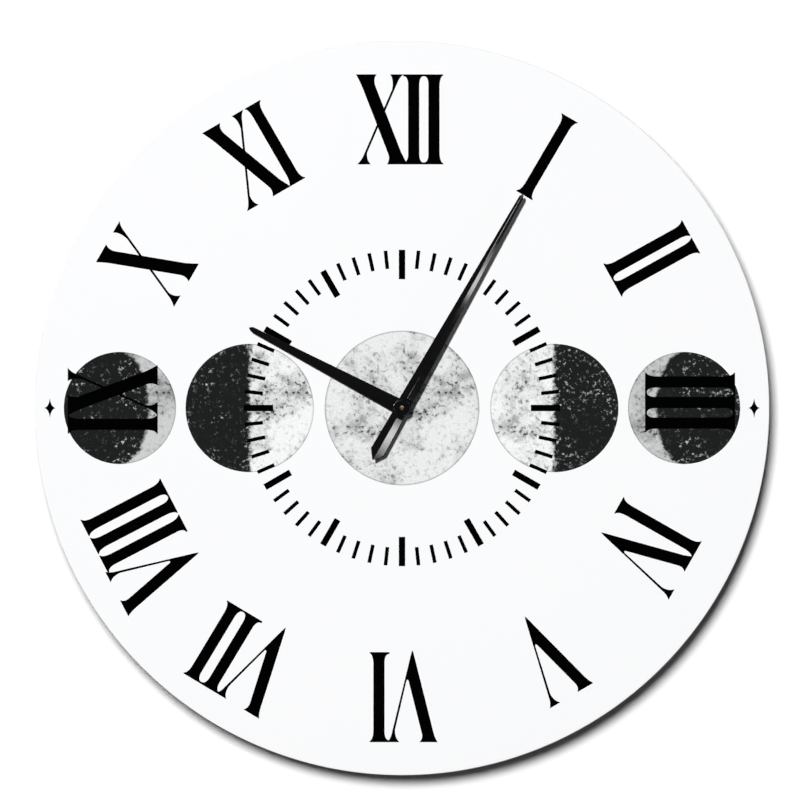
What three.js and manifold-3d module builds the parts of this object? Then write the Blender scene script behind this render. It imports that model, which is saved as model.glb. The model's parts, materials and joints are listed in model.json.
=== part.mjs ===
// A frameless wall clock: a thin round dial, two folded hands and a small battery movement behind it.
// Lengths are millimetres. Every piece is drawn as the clock is seen from the front, with x to the
// right, y up and z out from the wall. The last group turns that frame, so that +Z is up and the
// dial faces -Y. The origin is on the spindle's axis, in the plane of the wall.

import * as THREE from 'three';
import { mergeVertices } from 'three/addons/utils/BufferGeometryUtils.js';
import Module from 'manifold-3d';

// Dial
const dialDiameter = 300;
const dialThickness = 3;
const dialEdgeBevel = 0.3;
const dialHoleClearance = 0.2;
const padThickness = 1;
const padInset = 3;

// Hands
const minuteHandLength = 100;
const minuteHandRootWidth = 6;
const minuteHandTipWidth = 1.84;
const minuteTailLength = 24.3;
const minuteTailRootWidth = 5.2;
const minuteTailEndWidth = 6;
const minuteTailPointLength = 3.9;
const minuteTailPointWidth = 0.3;
const minuteHandAngle = 29.5;
const hourHandLength = 70.2;
const hourHandRootWidth = 5.3;
const hourHandTipWidth = 2.3;
const hourHandAngle = 297.7;
const handSheet = 0.4;
const handFoldAngle = 12;
const handHubRadius = 3.7;
const bladeStart = 1.4;
const handFitClearance = 0.05;
const hourHandHeight = 3.2;
const handSpacing = 2.4;
const hourBushWall = 0.7;
const hourBushLength = 2.2;
const nutRadius = 3.3;
const nutHeight = 1.5;
const nutFaceThickness = 0.6;
const nutEdgeRadius = 0.7;
const nutClearance = 0.15;
const arborTipReach = 0.25;
const arborChamfer = 0.2;

// Nested tubes of the spindle
const secondsArborRadius = 0.95;
const minuteTubeWall = 0.5;
const hourTubeWall = 0.6;
const tubeClearance = 0.1;
const bushingWall = 1.5;
const bushingRecess = 0.3;
const hourTubeReach = 0.5;

// Battery cell and its bay
const cellDiameter = 14.1;
const cellLength = 49.2;
const cellNubLength = 1;
const cellNubRadius = 2.75;
const cellEdgeRadius = 0.6;
const cellGap = 0.3;
const cellInset = 0.4;
const bayClearance = 0.15;

// Case
const sideWall = 2;
const frontWall = 1.2;
const dividerWall = 1.2;
const coverThickness = 1.2;
const coverLedge = 1;
const coverClearance = 0.2;
const caseCornerRadius = 3;
const caseEdgeBevel = 0.5;
const roomAboveSpindle = 26;
const wheelToWall = 0.55;

// Hanger
const hangerThickness = 2.4;
const hangerLoopRadius = 7.5;
const hangerWindowRadius = 4;
const hangerWindowStraight = 2;
const hangerBarWidth = 24;
const hangerBarHeight = 1.6;
const hangerBarDepth = 8;
const hangerTongueWidth = 3;
const hangerTongueDepth = 2.4;
const hangerTongueSpacing = 15;
const hangerSlotClearance = 0.3;

// Wheels: the module is the pitch diameter over the number of teeth
const rotorPinionTeeth = 8;
const intermediateTeeth = 48;
const rotorModule = 0.25;
const intermediatePinionTeeth = 8;
const secondsTeeth = 40;
const secondsModule = 0.3;
const secondsPinionTeeth = 8;
const thirdTeeth = 60;
const thirdModule = 0.27;
const thirdPinionTeeth = 8;
const clutchTeeth = 64;
const cannonTeeth = 12;
const motionTeeth = 36;
const motionModule = 0.375;
const motionPinionTeeth = 10;
const hourTeeth = 40;
const addendum = 0.75;
const dedendum = 1.15;
const toothTipShare = 0.2;
const toothRootShare = 0.56;

// Places of the arbors round the spindle, as angles from +x
const motionAngle = 15;
const thirdAngle = 110;
const intermediateAngle = 210;
const rotorAngle = 150;

// Layers of the train, from the front wall back
const axialPlay = 0.3;
const layerGap = 0.6;
const wheelGap = 0.4;
const hourWheelThickness = 1.2;
const motionWheelThickness = 1.1;
const clutchGearThickness = 1;
const thirdWheelThickness = 0.9;
const secondsWheelThickness = 1;
const intermediateWheelThickness = 0.9;
const clutchSpringThickness = 0.3;
const clutchSpringRadius = 3.2;
const clutchFlangeRadius = 2.1;

// Arbors and bearings
const pivotRadius = 0.5;
const pivotClearance = 0.05;
const rotorArborRadius = 0.4;
const bearingWall = 0.65;
const bearingFloor = 0.4;
const bearingGap = 0.4;
const pivotEndGap = 0.1;
const motionPostRadius = 0.6;

// Middle plate
const middlePlateThickness = 0.9;
const middlePlateMargin = 4.3;
const middlePlateTop = 20;
const middlePlateLowerGap = 0.5;
const plateOpeningGap = 0.35;
const plateHubRadius = 2.5;
const postRadius = 1.5;
const stakeRadius = 0.9;
const postInset = 3.5;
const lowerPostInset = 2.4;
const pillarRadius = 1.1;
const boardPostLeftInset = 2.2;
const boardPostRightInset = 3.3;

// Stepping motor
const magnetRadius = 2.9;
const magnetThickness = 2.2;
const magnetAirGap = 0.5;
const statorThickness = 1;
const statorRim = 1.3;
const statorReachUp = 12.6;
const statorLegWidth = 3.2;
const coilCoreWidth = 3;
const coilCoreThickness = 1;
const coilOffset = 10.2;
const coilRadius = 2.9;
const bobbinTubeWall = 0.35;
const bobbinFlange = 0.8;
const bobbinFlangeReach = 0.25;
const coilRoom = 0.3;
const windingGap = 0.05;

// Circuit board and contacts
const boardWidth = 21;
const boardHeight = 7;
const boardThickness = 0.8;
const boardToContact = 1.75;
const chipFromLeft = 7;
const chipRadius = 2.4;
const chipHeight = 0.9;
const crystalFromLeft = 15;
const crystalRadius = 1;
const crystalLength = 6;
const contactThickness = 0.4;
const contactWidth = 5;
const contactTailWidth = 1.4;
const contactGap = 0.25;

// Setting knob
const knobRadius = 5.4;
const knobThickness = 1.9;
const knobInset = 0.4;
const knobClearance = 0.7;
const knobFlutes = 14;
const knobFluteRadius = 0.7;
const knobShaftRadius = 1.2;
const knobSlotWidth = 1.2;
const knobSlotLength = 7;
const knobSlotDepth = 0.6;
const cupWall = 0.9;
const settingShaftRadius = 0.6;

// Facets round a full turn
const dialFacets = 120;
const tubeFacets = 24;
const smallFacets = 12;
const fluteFacets = 8;
const cornerSegments = 6;
const tipSteps = 4;
const tipTurn = 80;

// How far a cutting shape runs past what it cuts, and a joined one into what carries it
const overcut = 1;
const weld = 0.3;

// Corners closer than this are one corner
const cornerTolerance = 1e-4;

const wasm = await Module();
wasm.setup();

const degrees = Math.PI / 180;

// Geometry helpers

function signedVolume(geometry) {
  const position = geometry.attributes.position;
  const index = geometry.index;
  const corners = [new THREE.Vector3(), new THREE.Vector3(), new THREE.Vector3()];
  let volume = 0;
  for (let i = 0; i < index.count; i += 3) {
    corners.forEach((corner, k) => corner.fromBufferAttribute(position, index.getX(i + k)));
    volume += corners[0].dot(corners[1].cross(corners[2])) / 6;
  }
  return volume;
}

// Merges shared corners, drops triangles of no area and turns the faces outwards.
function closed(geometry) {
  const bare = geometry.clone();
  for (const name of Object.keys(bare.attributes)) {
    if (name !== 'position') bare.deleteAttribute(name);
  }
  const merged = mergeVertices(bare, cornerTolerance);
  const old = merged.index.array;
  const kept = [];
  for (let i = 0; i < old.length; i += 3) {
    const [a, b, c] = [old[i], old[i + 1], old[i + 2]];
    if (a !== b && b !== c && c !== a) kept.push(a, b, c);
  }
  merged.setIndex(kept);
  if (signedVolume(merged) < 0) {
    const turned = [];
    for (let i = 0; i < kept.length; i += 3) turned.push(kept[i], kept[i + 2], kept[i + 1]);
    merged.setIndex(turned);
  }
  return merged;
}

function toSolid(geometry) {
  const tidy = closed(geometry);
  return new wasm.Manifold(new wasm.Mesh({
    numProp: 3,
    vertProperties: new Float32Array(tidy.attributes.position.array),
    triVerts: new Uint32Array(tidy.index.array),
  }));
}

function toGeometry(solid) {
  const mesh = solid.getMesh();
  const geometry = new THREE.BufferGeometry();
  const corners = new Float32Array(mesh.vertProperties);
  geometry.setAttribute('position', new THREE.BufferAttribute(corners, 3));
  geometry.setIndex(new THREE.BufferAttribute(new Uint32Array(mesh.triVerts), 1));
  return geometry;
}

function join(...solids) {
  return solids.reduce((sum, solid) => sum.add(solid));
}

function cut(solid, ...tools) {
  return tools.reduce((rest, tool) => rest.subtract(tool), solid);
}

// A flat outline pushed out from one height to another.
function slab(shape, low, high, curveSegments = cornerSegments) {
  const options = { depth: high - low, bevelEnabled: false, curveSegments };
  const geometry = new THREE.ExtrudeGeometry(shape, options);
  geometry.translate(0, 0, low);
  return toSolid(geometry);
}

// A slab whose upper and lower edges are bevelled.
function bevelledSlab(shape, low, high, bevel) {
  const geometry = new THREE.ExtrudeGeometry(shape, {
    depth: high - low - 2 * bevel,
    bevelEnabled: true,
    bevelThickness: bevel,
    bevelSize: bevel,
    bevelOffset: -bevel,
    bevelSegments: 1,
    curveSegments: cornerSegments,
  });
  geometry.translate(0, 0, low + bevel);
  return toSolid(geometry);
}

// A turned piece about a line parallel to z, from [radius, z] pairs.
function turned(profile, facets, at = new THREE.Vector2()) {
  const points = profile.map(([radius, z]) => new THREE.Vector2(radius, z));
  if (points[0].x > 0) points.push(points[0].clone());
  const geometry = new THREE.LatheGeometry(points, facets);
  geometry.rotateX(Math.PI / 2);
  geometry.translate(at.x, at.y, 0);
  return toSolid(geometry);
}

function rod(radius, low, high, at = new THREE.Vector2(), facets = smallFacets) {
  return turned([[0, low], [radius, low], [radius, high], [0, high]], facets, at);
}

function tube(inner, outer, low, high, facets = tubeFacets, at = new THREE.Vector2()) {
  return turned([[inner, low], [outer, low], [outer, high], [inner, high]], facets, at);
}

function rectangle(left, right, bottom, top) {
  const shape = new THREE.Shape();
  shape.moveTo(left, bottom);
  shape.lineTo(right, bottom);
  shape.lineTo(right, top);
  shape.lineTo(left, top);
  shape.closePath();
  return shape;
}

function roundedRectangle(left, right, bottom, top, radius) {
  const shape = new THREE.Shape();
  shape.absarc(right - radius, bottom + radius, radius, -Math.PI / 2, 0);
  shape.absarc(right - radius, top - radius, radius, 0, Math.PI / 2);
  shape.absarc(left + radius, top - radius, radius, Math.PI / 2, Math.PI);
  shape.absarc(left + radius, bottom + radius, radius, Math.PI, 1.5 * Math.PI);
  shape.closePath();
  return shape;
}

function block(left, right, bottom, top, low, high) {
  return slab(rectangle(left, right, bottom, top), low, high);
}

function polar(radius, angle) {
  return new THREE.Vector2(radius * Math.cos(angle * degrees), radius * Math.sin(angle * degrees));
}

// Gears

function pitchRadius(teeth, module) {
  return teeth * module / 2;
}

function tipRadius(teeth, module) {
  return pitchRadius(teeth, module) + addendum * module;
}

function centreDistance(teethA, teethB, module) {
  return pitchRadius(teethA, module) + pitchRadius(teethB, module);
}

function moduleFor(distance, teethA, teethB) {
  return 2 * distance / (teethA + teethB);
}

// The turn of gear B that puts its teeth in the gaps of gear A, seen along the line from A to B.
function meshedPhase(phaseA, teethA, teethB, line) {
  const stepA = (line - phaseA) * teethA / (2 * Math.PI);
  return line + Math.PI - (0.5 - stepA) * 2 * Math.PI / teethB;
}

function gearShape(teeth, module, phase, bore) {
  const root = pitchRadius(teeth, module) - dedendum * module;
  const tip = tipRadius(teeth, module);
  const pitch = 2 * Math.PI / teeth;
  const corner = (radius, angle) => [radius * Math.cos(angle), radius * Math.sin(angle)];
  const shape = new THREE.Shape();
  for (let tooth = 0; tooth < teeth; tooth += 1) {
    const centre = phase + tooth * pitch;
    const start = corner(root, centre - toothRootShare * pitch / 2);
    if (tooth === 0) shape.moveTo(...start);
    else shape.lineTo(...start);
    shape.lineTo(...corner(tip, centre - toothTipShare * pitch / 2));
    shape.lineTo(...corner(tip, centre + toothTipShare * pitch / 2));
    shape.lineTo(...corner(root, centre + toothRootShare * pitch / 2));
  }
  shape.closePath();
  if (bore > 0) {
    const hole = new THREE.Path();
    hole.absarc(0, 0, bore, 0, 2 * Math.PI, true);
    shape.holes.push(hole);
  }
  return shape;
}

function gear(teeth, module, phase, low, high, bore = 0) {
  const boreFacets = bore > 2 * pivotRadius ? tubeFacets : smallFacets;
  return slab(gearShape(teeth, module, phase, bore), low, high, boreFacets / 2);
}

// Arbor places, from the gears that mesh there

const spindleAt = new THREE.Vector2();
const motionDistance = centreDistance(cannonTeeth, motionTeeth, motionModule);
const hourModule = moduleFor(motionDistance, motionPinionTeeth, hourTeeth);
const motionAt = polar(motionDistance, motionAngle);
const settingAt = motionAt.clone().add(polar(motionDistance, motionAngle));
const thirdDistance = centreDistance(secondsPinionTeeth, thirdTeeth, thirdModule);
const clutchModule = moduleFor(thirdDistance, thirdPinionTeeth, clutchTeeth);
const thirdAt = polar(thirdDistance, thirdAngle);
const intermediateDistance = centreDistance(intermediatePinionTeeth, secondsTeeth, secondsModule);
const intermediateAt = polar(intermediateDistance, intermediateAngle);
const rotorDistance = centreDistance(rotorPinionTeeth, intermediateTeeth, rotorModule);
const rotorAt = intermediateAt.clone().add(polar(rotorDistance, rotorAngle));

// Turns of the gears at rest, so that every pair is in mesh

const thirdLine = thirdAngle * degrees;
const clutchPhase = meshedPhase(0, thirdPinionTeeth, clutchTeeth, thirdLine + Math.PI);
const secondsPinionPhase = meshedPhase(0, thirdTeeth, secondsPinionTeeth, thirdLine + Math.PI);
const intermediatePinionPhase = meshedPhase(
  0, secondsTeeth, intermediatePinionTeeth, intermediateAngle * degrees);
const rotorPinionPhase = meshedPhase(
  0, intermediateTeeth, rotorPinionTeeth, rotorAngle * degrees);
const motionPhase = meshedPhase(0, cannonTeeth, motionTeeth, motionAngle * degrees);
const hourPhase = meshedPhase(0, motionPinionTeeth, hourTeeth, (motionAngle + 180) * degrees);
const settingPhase = meshedPhase(motionPhase, motionTeeth, cannonTeeth, motionAngle * degrees);

// Radii of the nested tubes

const minuteBore = secondsArborRadius + tubeClearance;
const minuteTubeRadius = minuteBore + minuteTubeWall;
const hourBore = minuteTubeRadius + tubeClearance;
const hourTubeRadius = hourBore + hourTubeWall;
const bushingBore = hourTubeRadius + tubeClearance;
const bushingRadius = bushingBore + bushingWall;
const pivotBore = pivotRadius + pivotClearance;

// Outline of the case

const caseDepth = frontWall + cellGap + cellDiameter + cellInset;
const contactFace = (cellLength + cellNubLength) / 2 + contactGap;
const contactBack = contactFace + contactThickness;
const coilReach = coilOffset - rotorAt.x + coilRadius + bobbinFlangeReach;
const bayHalfWidth = Math.max(contactBack + contactGap, coilReach + coilRoom);
const caseHalfWidth = bayHalfWidth + sideWall;
const trainReachBelow = Math.max(
  tipRadius(clutchTeeth, clutchModule),
  tipRadius(intermediateTeeth, rotorModule) - intermediateAt.y,
);
const dividerTop = -(trainReachBelow + wheelToWall);
const bayTop = dividerTop - dividerWall;
const bayBottom = bayTop - cellDiameter - 2 * bayClearance;
const caseBottom = bayBottom - sideWall;
const caseTop = roomAboveSpindle + sideWall;
const cellCentre = new THREE.Vector2(0, (bayTop + bayBottom) / 2);
const contactLow = caseDepth / 2 - contactWidth / 2;

// Heights out from the wall

const frontFloor = caseDepth - frontWall;
const padTop = caseDepth + padThickness;
const dialFace = padTop + dialThickness;
const hourTop = frontFloor - axialPlay;
const hourLow = hourTop - hourWheelThickness;
const motionTop = hourLow - axialPlay;
const motionLow = motionTop - motionWheelThickness;
const clutchTop = motionLow - layerGap;
const clutchLow = clutchTop - clutchGearThickness;
const plateTop = clutchLow - wheelGap;
const plateLow = plateTop - middlePlateThickness;
const thirdTop = clutchLow - layerGap;
const thirdLow = thirdTop - thirdWheelThickness;
const secondsTop = thirdLow - wheelGap;
const secondsLow = secondsTop - secondsWheelThickness;
const intermediateTop = secondsLow - wheelGap;
const intermediateLow = intermediateTop - intermediateWheelThickness;
const magnetTop = intermediateLow - wheelGap;
const magnetLow = magnetTop - magnetThickness;
const statorLow = (magnetTop + magnetLow) / 2 - statorThickness / 2;
const statorTop = statorLow + statorThickness;
const rearBossTop = magnetLow - bearingGap;
const rearPivotEnd = coverThickness + bearingFloor + pivotEndGap;
const frontPivotEnd = frontFloor - bearingFloor - pivotEndGap;
const platePivotEnd = plateTop - pivotEndGap;

// Heights of the hands on the spindle

const hourHandLow = dialFace + hourHandHeight;
const hourTubeEnd = hourHandLow + handSheet + hourTubeReach;
const minuteHandLow = hourHandLow + handSpacing;
const nutLow = minuteHandLow + handSheet;
const nutTop = nutLow + nutHeight;
const minuteTubeEnd = nutTop - nutFaceThickness - axialPlay;
const secondsArborEnd = nutTop + arborTipReach;

// Dial and its pad

function dial() {
  const outer = dialDiameter / 2;
  const hole = bushingRadius + dialHoleClearance;
  const bevel = dialEdgeBevel;
  return turned([
    [hole, padTop], [outer - bevel, padTop], [outer, padTop + bevel],
    [outer, dialFace - bevel], [outer - bevel, dialFace], [hole, dialFace],
  ], dialFacets);
}

function mountingPad() {
  const left = -caseHalfWidth + padInset;
  const outline = roundedRectangle(
    left, -left, caseBottom + padInset, caseTop - padInset, caseCornerRadius);
  const hole = rod(
    bushingRadius + dialHoleClearance, caseDepth - overcut, padTop + overcut, spindleAt,
    tubeFacets);
  return cut(slab(outline, caseDepth, padTop), hole);
}

// Case

const postPlaces = [
  new THREE.Vector2(-bayHalfWidth + middlePlateMargin + postInset, middlePlateTop - postInset),
  new THREE.Vector2(bayHalfWidth - middlePlateMargin - postInset, middlePlateTop - postInset),
  new THREE.Vector2(
    -bayHalfWidth + middlePlateMargin + postInset,
    dividerTop + middlePlateLowerGap + lowerPostInset),
  new THREE.Vector2(
    (motionAt.x + settingAt.x) / 2 + postRadius,
    dividerTop + middlePlateLowerGap + lowerPostInset),
];

function postsOfFrontCase() {
  return join(...postPlaces.map((at) => join(
    rod(postRadius, plateTop, frontFloor + weld, at),
    rod(stakeRadius, plateLow, plateTop + weld, at),
  )));
}

// A boss on the front wall with a blind bore for a front pivot.
function frontBoss(at, low, bore) {
  const body = rod(bore + bearingWall, low, frontFloor + weld, at);
  return cut(body, rod(bore, low - overcut, frontFloor - bearingFloor, at));
}

function contactNotch(side) {
  const inner = side * (contactFace - contactGap);
  const outer = side * (contactBack + contactGap);
  return block(
    Math.min(inner, outer), Math.max(inner, outer), bayTop - overcut, dividerTop + overcut,
    -overcut, contactLow + contactWidth + contactGap);
}

function frontCase() {
  const outline = roundedRectangle(
    -caseHalfWidth, caseHalfWidth, caseBottom, caseTop, caseCornerRadius);
  const shell = bevelledSlab(outline, 0, caseDepth, caseEdgeBevel);
  const works = block(
    -bayHalfWidth, bayHalfWidth, dividerTop, roomAboveSpindle, -overcut, frontFloor);
  const bay = block(-bayHalfWidth, bayHalfWidth, bayBottom, bayTop, -overcut, frontFloor);
  const rebate = block(
    -bayHalfWidth - coverLedge, bayHalfWidth + coverLedge,
    dividerTop - coverLedge / 2, roomAboveSpindle + coverLedge, -overcut, coverThickness);
  const bushing = tube(bushingBore, bushingRadius, caseDepth - weld, dialFace - bushingRecess);
  const bushingHole = rod(bushingBore, frontFloor - overcut, dialFace, spindleAt, tubeFacets);
  const thirdBoss = frontBoss(thirdAt, clutchTop + bearingGap, pivotBore);
  const settingBoss = frontBoss(
    settingAt, motionTop + bearingGap, settingShaftRadius + pivotClearance);
  const motionPost = rod(
    motionPostRadius, motionLow - axialPlay, frontFloor + weld, motionAt);
  const body = join(cut(shell, works, bay, rebate), bushing);
  const bored = cut(body, bushingHole, contactNotch(-1), contactNotch(1), hangerSlots());
  return join(bored, thirdBoss, settingBoss, motionPost, postsOfFrontCase());
}

// A boss on the cover with a blind bore for a rear pivot.
function rearBoss(at, bore) {
  const body = rod(bore + bearingWall, coverThickness - weld, rearBossTop, at);
  return cut(body, rod(bore, coverThickness + bearingFloor, rearBossTop + overcut, at));
}

const cupFloorLow = knobInset + knobThickness + axialPlay;
const cupFloorTop = cupFloorLow + coverThickness;
const cupRadius = knobRadius + knobClearance;

function backCover() {
  const reach = bayHalfWidth + coverLedge - coverClearance;
  const outline = rectangle(
    -reach, reach, dividerTop - coverLedge / 2 + coverClearance,
    roomAboveSpindle + coverLedge - coverClearance);
  const plate = slab(outline, 0, coverThickness);
  const cupOuter = rod(cupRadius + cupWall, 0, cupFloorTop, settingAt, tubeFacets);
  const cupInner = rod(cupRadius, -overcut, cupFloorLow, settingAt, tubeFacets);
  const shaftHole = rod(
    knobShaftRadius + pivotClearance, -overcut, cupFloorTop + overcut, settingAt);
  const cover = cut(join(plate, cupOuter), cupInner, shaftHole);
  return join(
    cover,
    rearBoss(spindleAt, pivotBore),
    rearBoss(thirdAt, pivotBore),
    rearBoss(intermediateAt, pivotBore),
    rearBoss(rotorAt, rotorArborRadius + pivotClearance),
  );
}

// Hanger, clipped on the top wall of the case

function hangerSlots() {
  return join(...[-1, 1].map((side) => {
    const middle = side * hangerTongueSpacing / 2;
    const half = hangerTongueWidth / 2 + hangerSlotClearance;
    return block(middle - half, middle + half, roomAboveSpindle - overcut, caseTop + overcut,
      hangerThickness - hangerSlotClearance,
      hangerThickness + hangerTongueDepth + hangerSlotClearance);
  }));
}

const hangerBarTop = caseTop + hangerBarHeight;
const hangerArchCentre = hangerBarTop + hangerWindowStraight;

function hangerClip() {
  const loop = new THREE.Shape();
  loop.moveTo(-hangerLoopRadius, caseTop);
  loop.lineTo(hangerLoopRadius, caseTop);
  loop.lineTo(hangerLoopRadius, hangerArchCentre);
  loop.absarc(0, hangerArchCentre, hangerLoopRadius, 0, Math.PI);
  loop.closePath();
  const window = new THREE.Shape();
  window.moveTo(-hangerWindowRadius, hangerBarTop);
  window.lineTo(hangerWindowRadius, hangerBarTop);
  window.lineTo(hangerWindowRadius, hangerArchCentre);
  window.absarc(0, hangerArchCentre, hangerWindowRadius, 0, Math.PI);
  window.closePath();
  const hole = slab(window, -overcut, hangerThickness + overcut);
  const arch = cut(slab(loop, 0, hangerThickness), hole);
  const bar = block(-hangerBarWidth / 2, hangerBarWidth / 2, caseTop, hangerBarTop,
    0, hangerBarDepth);
  const tongues = [-1, 1].map((side) => {
    const middle = side * hangerTongueSpacing / 2;
    return block(middle - hangerTongueWidth / 2, middle + hangerTongueWidth / 2,
      roomAboveSpindle + hangerSlotClearance, caseTop + weld,
      hangerThickness, hangerThickness + hangerTongueDepth);
  });
  return join(arch, bar, ...tongues);
}

// Middle plate

const boardBottom = dividerTop + 2 * middlePlateLowerGap;
const boardLeft = contactFace - boardToContact - boardWidth;
const boardTopFace = statorTop + bearingGap;
const boardPosts = [
  new THREE.Vector2(boardLeft + boardPostLeftInset, boardBottom + boardHeight / 2),
  new THREE.Vector2(boardLeft + boardWidth - boardPostRightInset, boardBottom + boardHeight / 2),
];
const legTop = rotorAt.y + statorReachUp;
const legBottom = dividerTop + 2 * contactGap + contactThickness;
const statorPosts = [
  new THREE.Vector2(rotorAt.x - statorRim, legTop - statorLegWidth / 2),
  new THREE.Vector2(rotorAt.x - statorRim, legBottom + statorLegWidth / 2),
];

function middlePlate() {
  const half = bayHalfWidth - middlePlateMargin;
  const outline = rectangle(-half, half, dividerTop + middlePlateLowerGap, middlePlateTop);
  const plate = slab(outline, plateLow, plateTop);
  const thirdOpening = rod(tipRadius(thirdTeeth, thirdModule) + plateOpeningGap,
    plateLow - overcut, plateTop + overcut, thirdAt, tubeFacets);
  const hole = (radius, at) => rod(radius, plateLow - overcut, plateTop + overcut, at);
  const holes = [
    hole(plateHubRadius, spindleAt),
    hole(pivotBore, intermediateAt),
    hole(rotorArborRadius + pivotClearance, rotorAt),
    hole(knobShaftRadius + axialPlay, settingAt),
    ...postPlaces.map((at) => hole(stakeRadius + pivotClearance, at)),
  ];
  const pillars = [
    ...boardPosts.map((at) => rod(pillarRadius, boardTopFace, plateLow + weld, at)),
    ...statorPosts.map((at) => rod(pillarRadius, statorTop, plateLow + weld, at)),
  ];
  return join(cut(plate, thirdOpening, ...holes), ...pillars);
}

// Stepping motor

const magnetBore = magnetRadius + magnetAirGap;
const coilAt = new THREE.Vector2(rotorAt.x - coilOffset, rotorAt.y);

function stator() {
  const left = coilAt.x - coilCoreWidth / 2;
  const barLeft = rotorAt.x - magnetBore - statorRim;
  const barRight = rotorAt.x + magnetBore + statorRim;
  const shape = new THREE.Shape();
  shape.moveTo(left, legBottom);
  shape.lineTo(barRight, legBottom);
  shape.lineTo(barRight, legTop);
  shape.lineTo(left, legTop);
  shape.lineTo(left, legTop - statorLegWidth);
  shape.lineTo(barLeft, legTop - statorLegWidth);
  shape.lineTo(barLeft, legBottom + statorLegWidth);
  shape.lineTo(left, legBottom + statorLegWidth);
  shape.closePath();
  const hole = rod(magnetBore, statorLow - overcut, statorTop + overcut, rotorAt, tubeFacets);
  return cut(slab(shape, statorLow, statorTop), hole);
}

const windingTop = legTop - statorLegWidth - bobbinFlange - windingGap;
const windingBottom = legBottom + statorLegWidth + bobbinFlange + windingGap;
const coreMiddle = statorTop + coilCoreThickness / 2;

// A piece that goes round the coil's core, drawn as its section and its stretch along y.
function alongCore(shape, low, high) {
  const geometry = new THREE.ExtrudeGeometry(shape, {
    depth: high - low, bevelEnabled: false, curveSegments: tubeFacets / 4,
  });
  geometry.rotateX(-Math.PI / 2);
  geometry.translate(coilAt.x, low, coreMiddle);
  return toSolid(geometry);
}

function coreSection(margin) {
  const halfWidth = coilCoreWidth / 2 + margin;
  const halfThickness = coilCoreThickness / 2 + margin;
  return rectangle(-halfWidth, halfWidth, -halfThickness, halfThickness);
}

function coilCore() {
  return block(coilAt.x - coilCoreWidth / 2, coilAt.x + coilCoreWidth / 2,
    legBottom, legTop, statorTop, statorTop + coilCoreThickness);
}

function coilBobbin() {
  const ends = [windingBottom - windingGap - bobbinFlange, windingTop + windingGap];
  const outer = coreSection(windingGap + bobbinTubeWall);
  const spool = alongCore(outer, ends[0], ends[1] + bobbinFlange);
  const halfFlange = coilRadius + bobbinFlangeReach;
  const flange = rectangle(-halfFlange, halfFlange, -halfFlange, halfFlange);
  const flanges = ends.map((low) => alongCore(flange, low, low + bobbinFlange));
  const bore = alongCore(
    coreSection(windingGap), ends[0] - overcut, ends[1] + bobbinFlange + overcut);
  return cut(join(spool, ...flanges), bore);
}

function coilWinding() {
  const round = new THREE.Shape();
  round.absarc(0, 0, coilRadius, 0, 2 * Math.PI);
  round.closePath();
  const winding = alongCore(round, windingBottom, windingTop);
  const space = coreSection(2 * windingGap + bobbinTubeWall);
  return cut(winding, alongCore(space, windingBottom - overcut, windingTop + overcut));
}

function rotorMagnet() {
  return tube(rotorArborRadius + pivotClearance, magnetRadius, magnetLow, magnetTop,
    tubeFacets, rotorAt);
}

function rotorPinion() {
  const teeth = gear(rotorPinionTeeth, rotorModule, rotorPinionPhase,
    magnetTop + pivotClearance, intermediateTop);
  const arbor = rod(rotorArborRadius, rearPivotEnd, platePivotEnd);
  return movedTo(join(teeth, arbor), rotorAt);
}

// Going train

function movedTo(solid, at) {
  return solid.translate([at.x, at.y, 0]);
}

function intermediateWheel() {
  const wheel = gear(intermediateTeeth, rotorModule, 0, intermediateLow, intermediateTop);
  const pinion = gear(intermediatePinionTeeth, secondsModule, intermediatePinionPhase,
    intermediateLow, secondsTop);
  const arbor = rod(pivotRadius, rearPivotEnd, platePivotEnd);
  return movedTo(join(wheel, pinion, arbor), intermediateAt);
}

function secondsWheel() {
  const wheel = gear(secondsTeeth, secondsModule, 0, secondsLow, secondsTop, pivotBore);
  const pinion = gear(secondsPinionTeeth, thirdModule, secondsPinionPhase,
    secondsTop - weld, thirdTop, pivotBore);
  return join(wheel, pinion);
}

function secondsArbor() {
  const shoulder = thirdTop + pivotClearance;
  return turned([
    [0, rearPivotEnd], [pivotRadius, rearPivotEnd], [pivotRadius, shoulder],
    [secondsArborRadius, shoulder], [secondsArborRadius, secondsArborEnd - arborChamfer],
    [secondsArborRadius - arborChamfer, secondsArborEnd], [0, secondsArborEnd],
  ], tubeFacets);
}

function thirdWheel() {
  const wheel = gear(thirdTeeth, thirdModule, 0, thirdLow, thirdTop);
  const pinion = gear(thirdPinionTeeth, clutchModule, 0, thirdLow, clutchTop);
  const arbor = rod(pivotRadius, rearPivotEnd, frontPivotEnd);
  return movedTo(join(wheel, pinion, arbor), thirdAt);
}

function clutchGear() {
  const bore = minuteTubeRadius + pivotClearance;
  return gear(clutchTeeth, clutchModule, clutchPhase, clutchLow, clutchTop, bore);
}

function clutchSpring() {
  const low = clutchTop + pivotClearance;
  return tube(minuteTubeRadius + pivotClearance, clutchSpringRadius, low,
    low + clutchSpringThickness);
}

function minuteArbor() {
  const flangeTop = clutchLow - pivotClearance;
  const flangeLow = flangeTop - axialPlay;
  const barrel = turned([
    [minuteBore, flangeLow], [clutchFlangeRadius, flangeLow], [clutchFlangeRadius, flangeTop],
    [minuteTubeRadius, flangeTop], [minuteTubeRadius, minuteTubeEnd], [minuteBore, minuteTubeEnd],
  ], tubeFacets);
  const cannonLow = clutchTop + clutchSpringThickness + 2 * pivotClearance;
  const pinion = gear(cannonTeeth, motionModule, 0, cannonLow, motionTop,
    (minuteBore + minuteTubeRadius) / 2);
  return join(barrel, pinion);
}

// Motion work

function motionWheel() {
  const bore = motionPostRadius + pivotClearance;
  const wheel = gear(motionTeeth, motionModule, motionPhase, motionLow, motionTop, bore);
  const pinion = gear(motionPinionTeeth, hourModule, 0, motionLow, hourTop, bore);
  return movedTo(join(wheel, pinion), motionAt);
}

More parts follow.
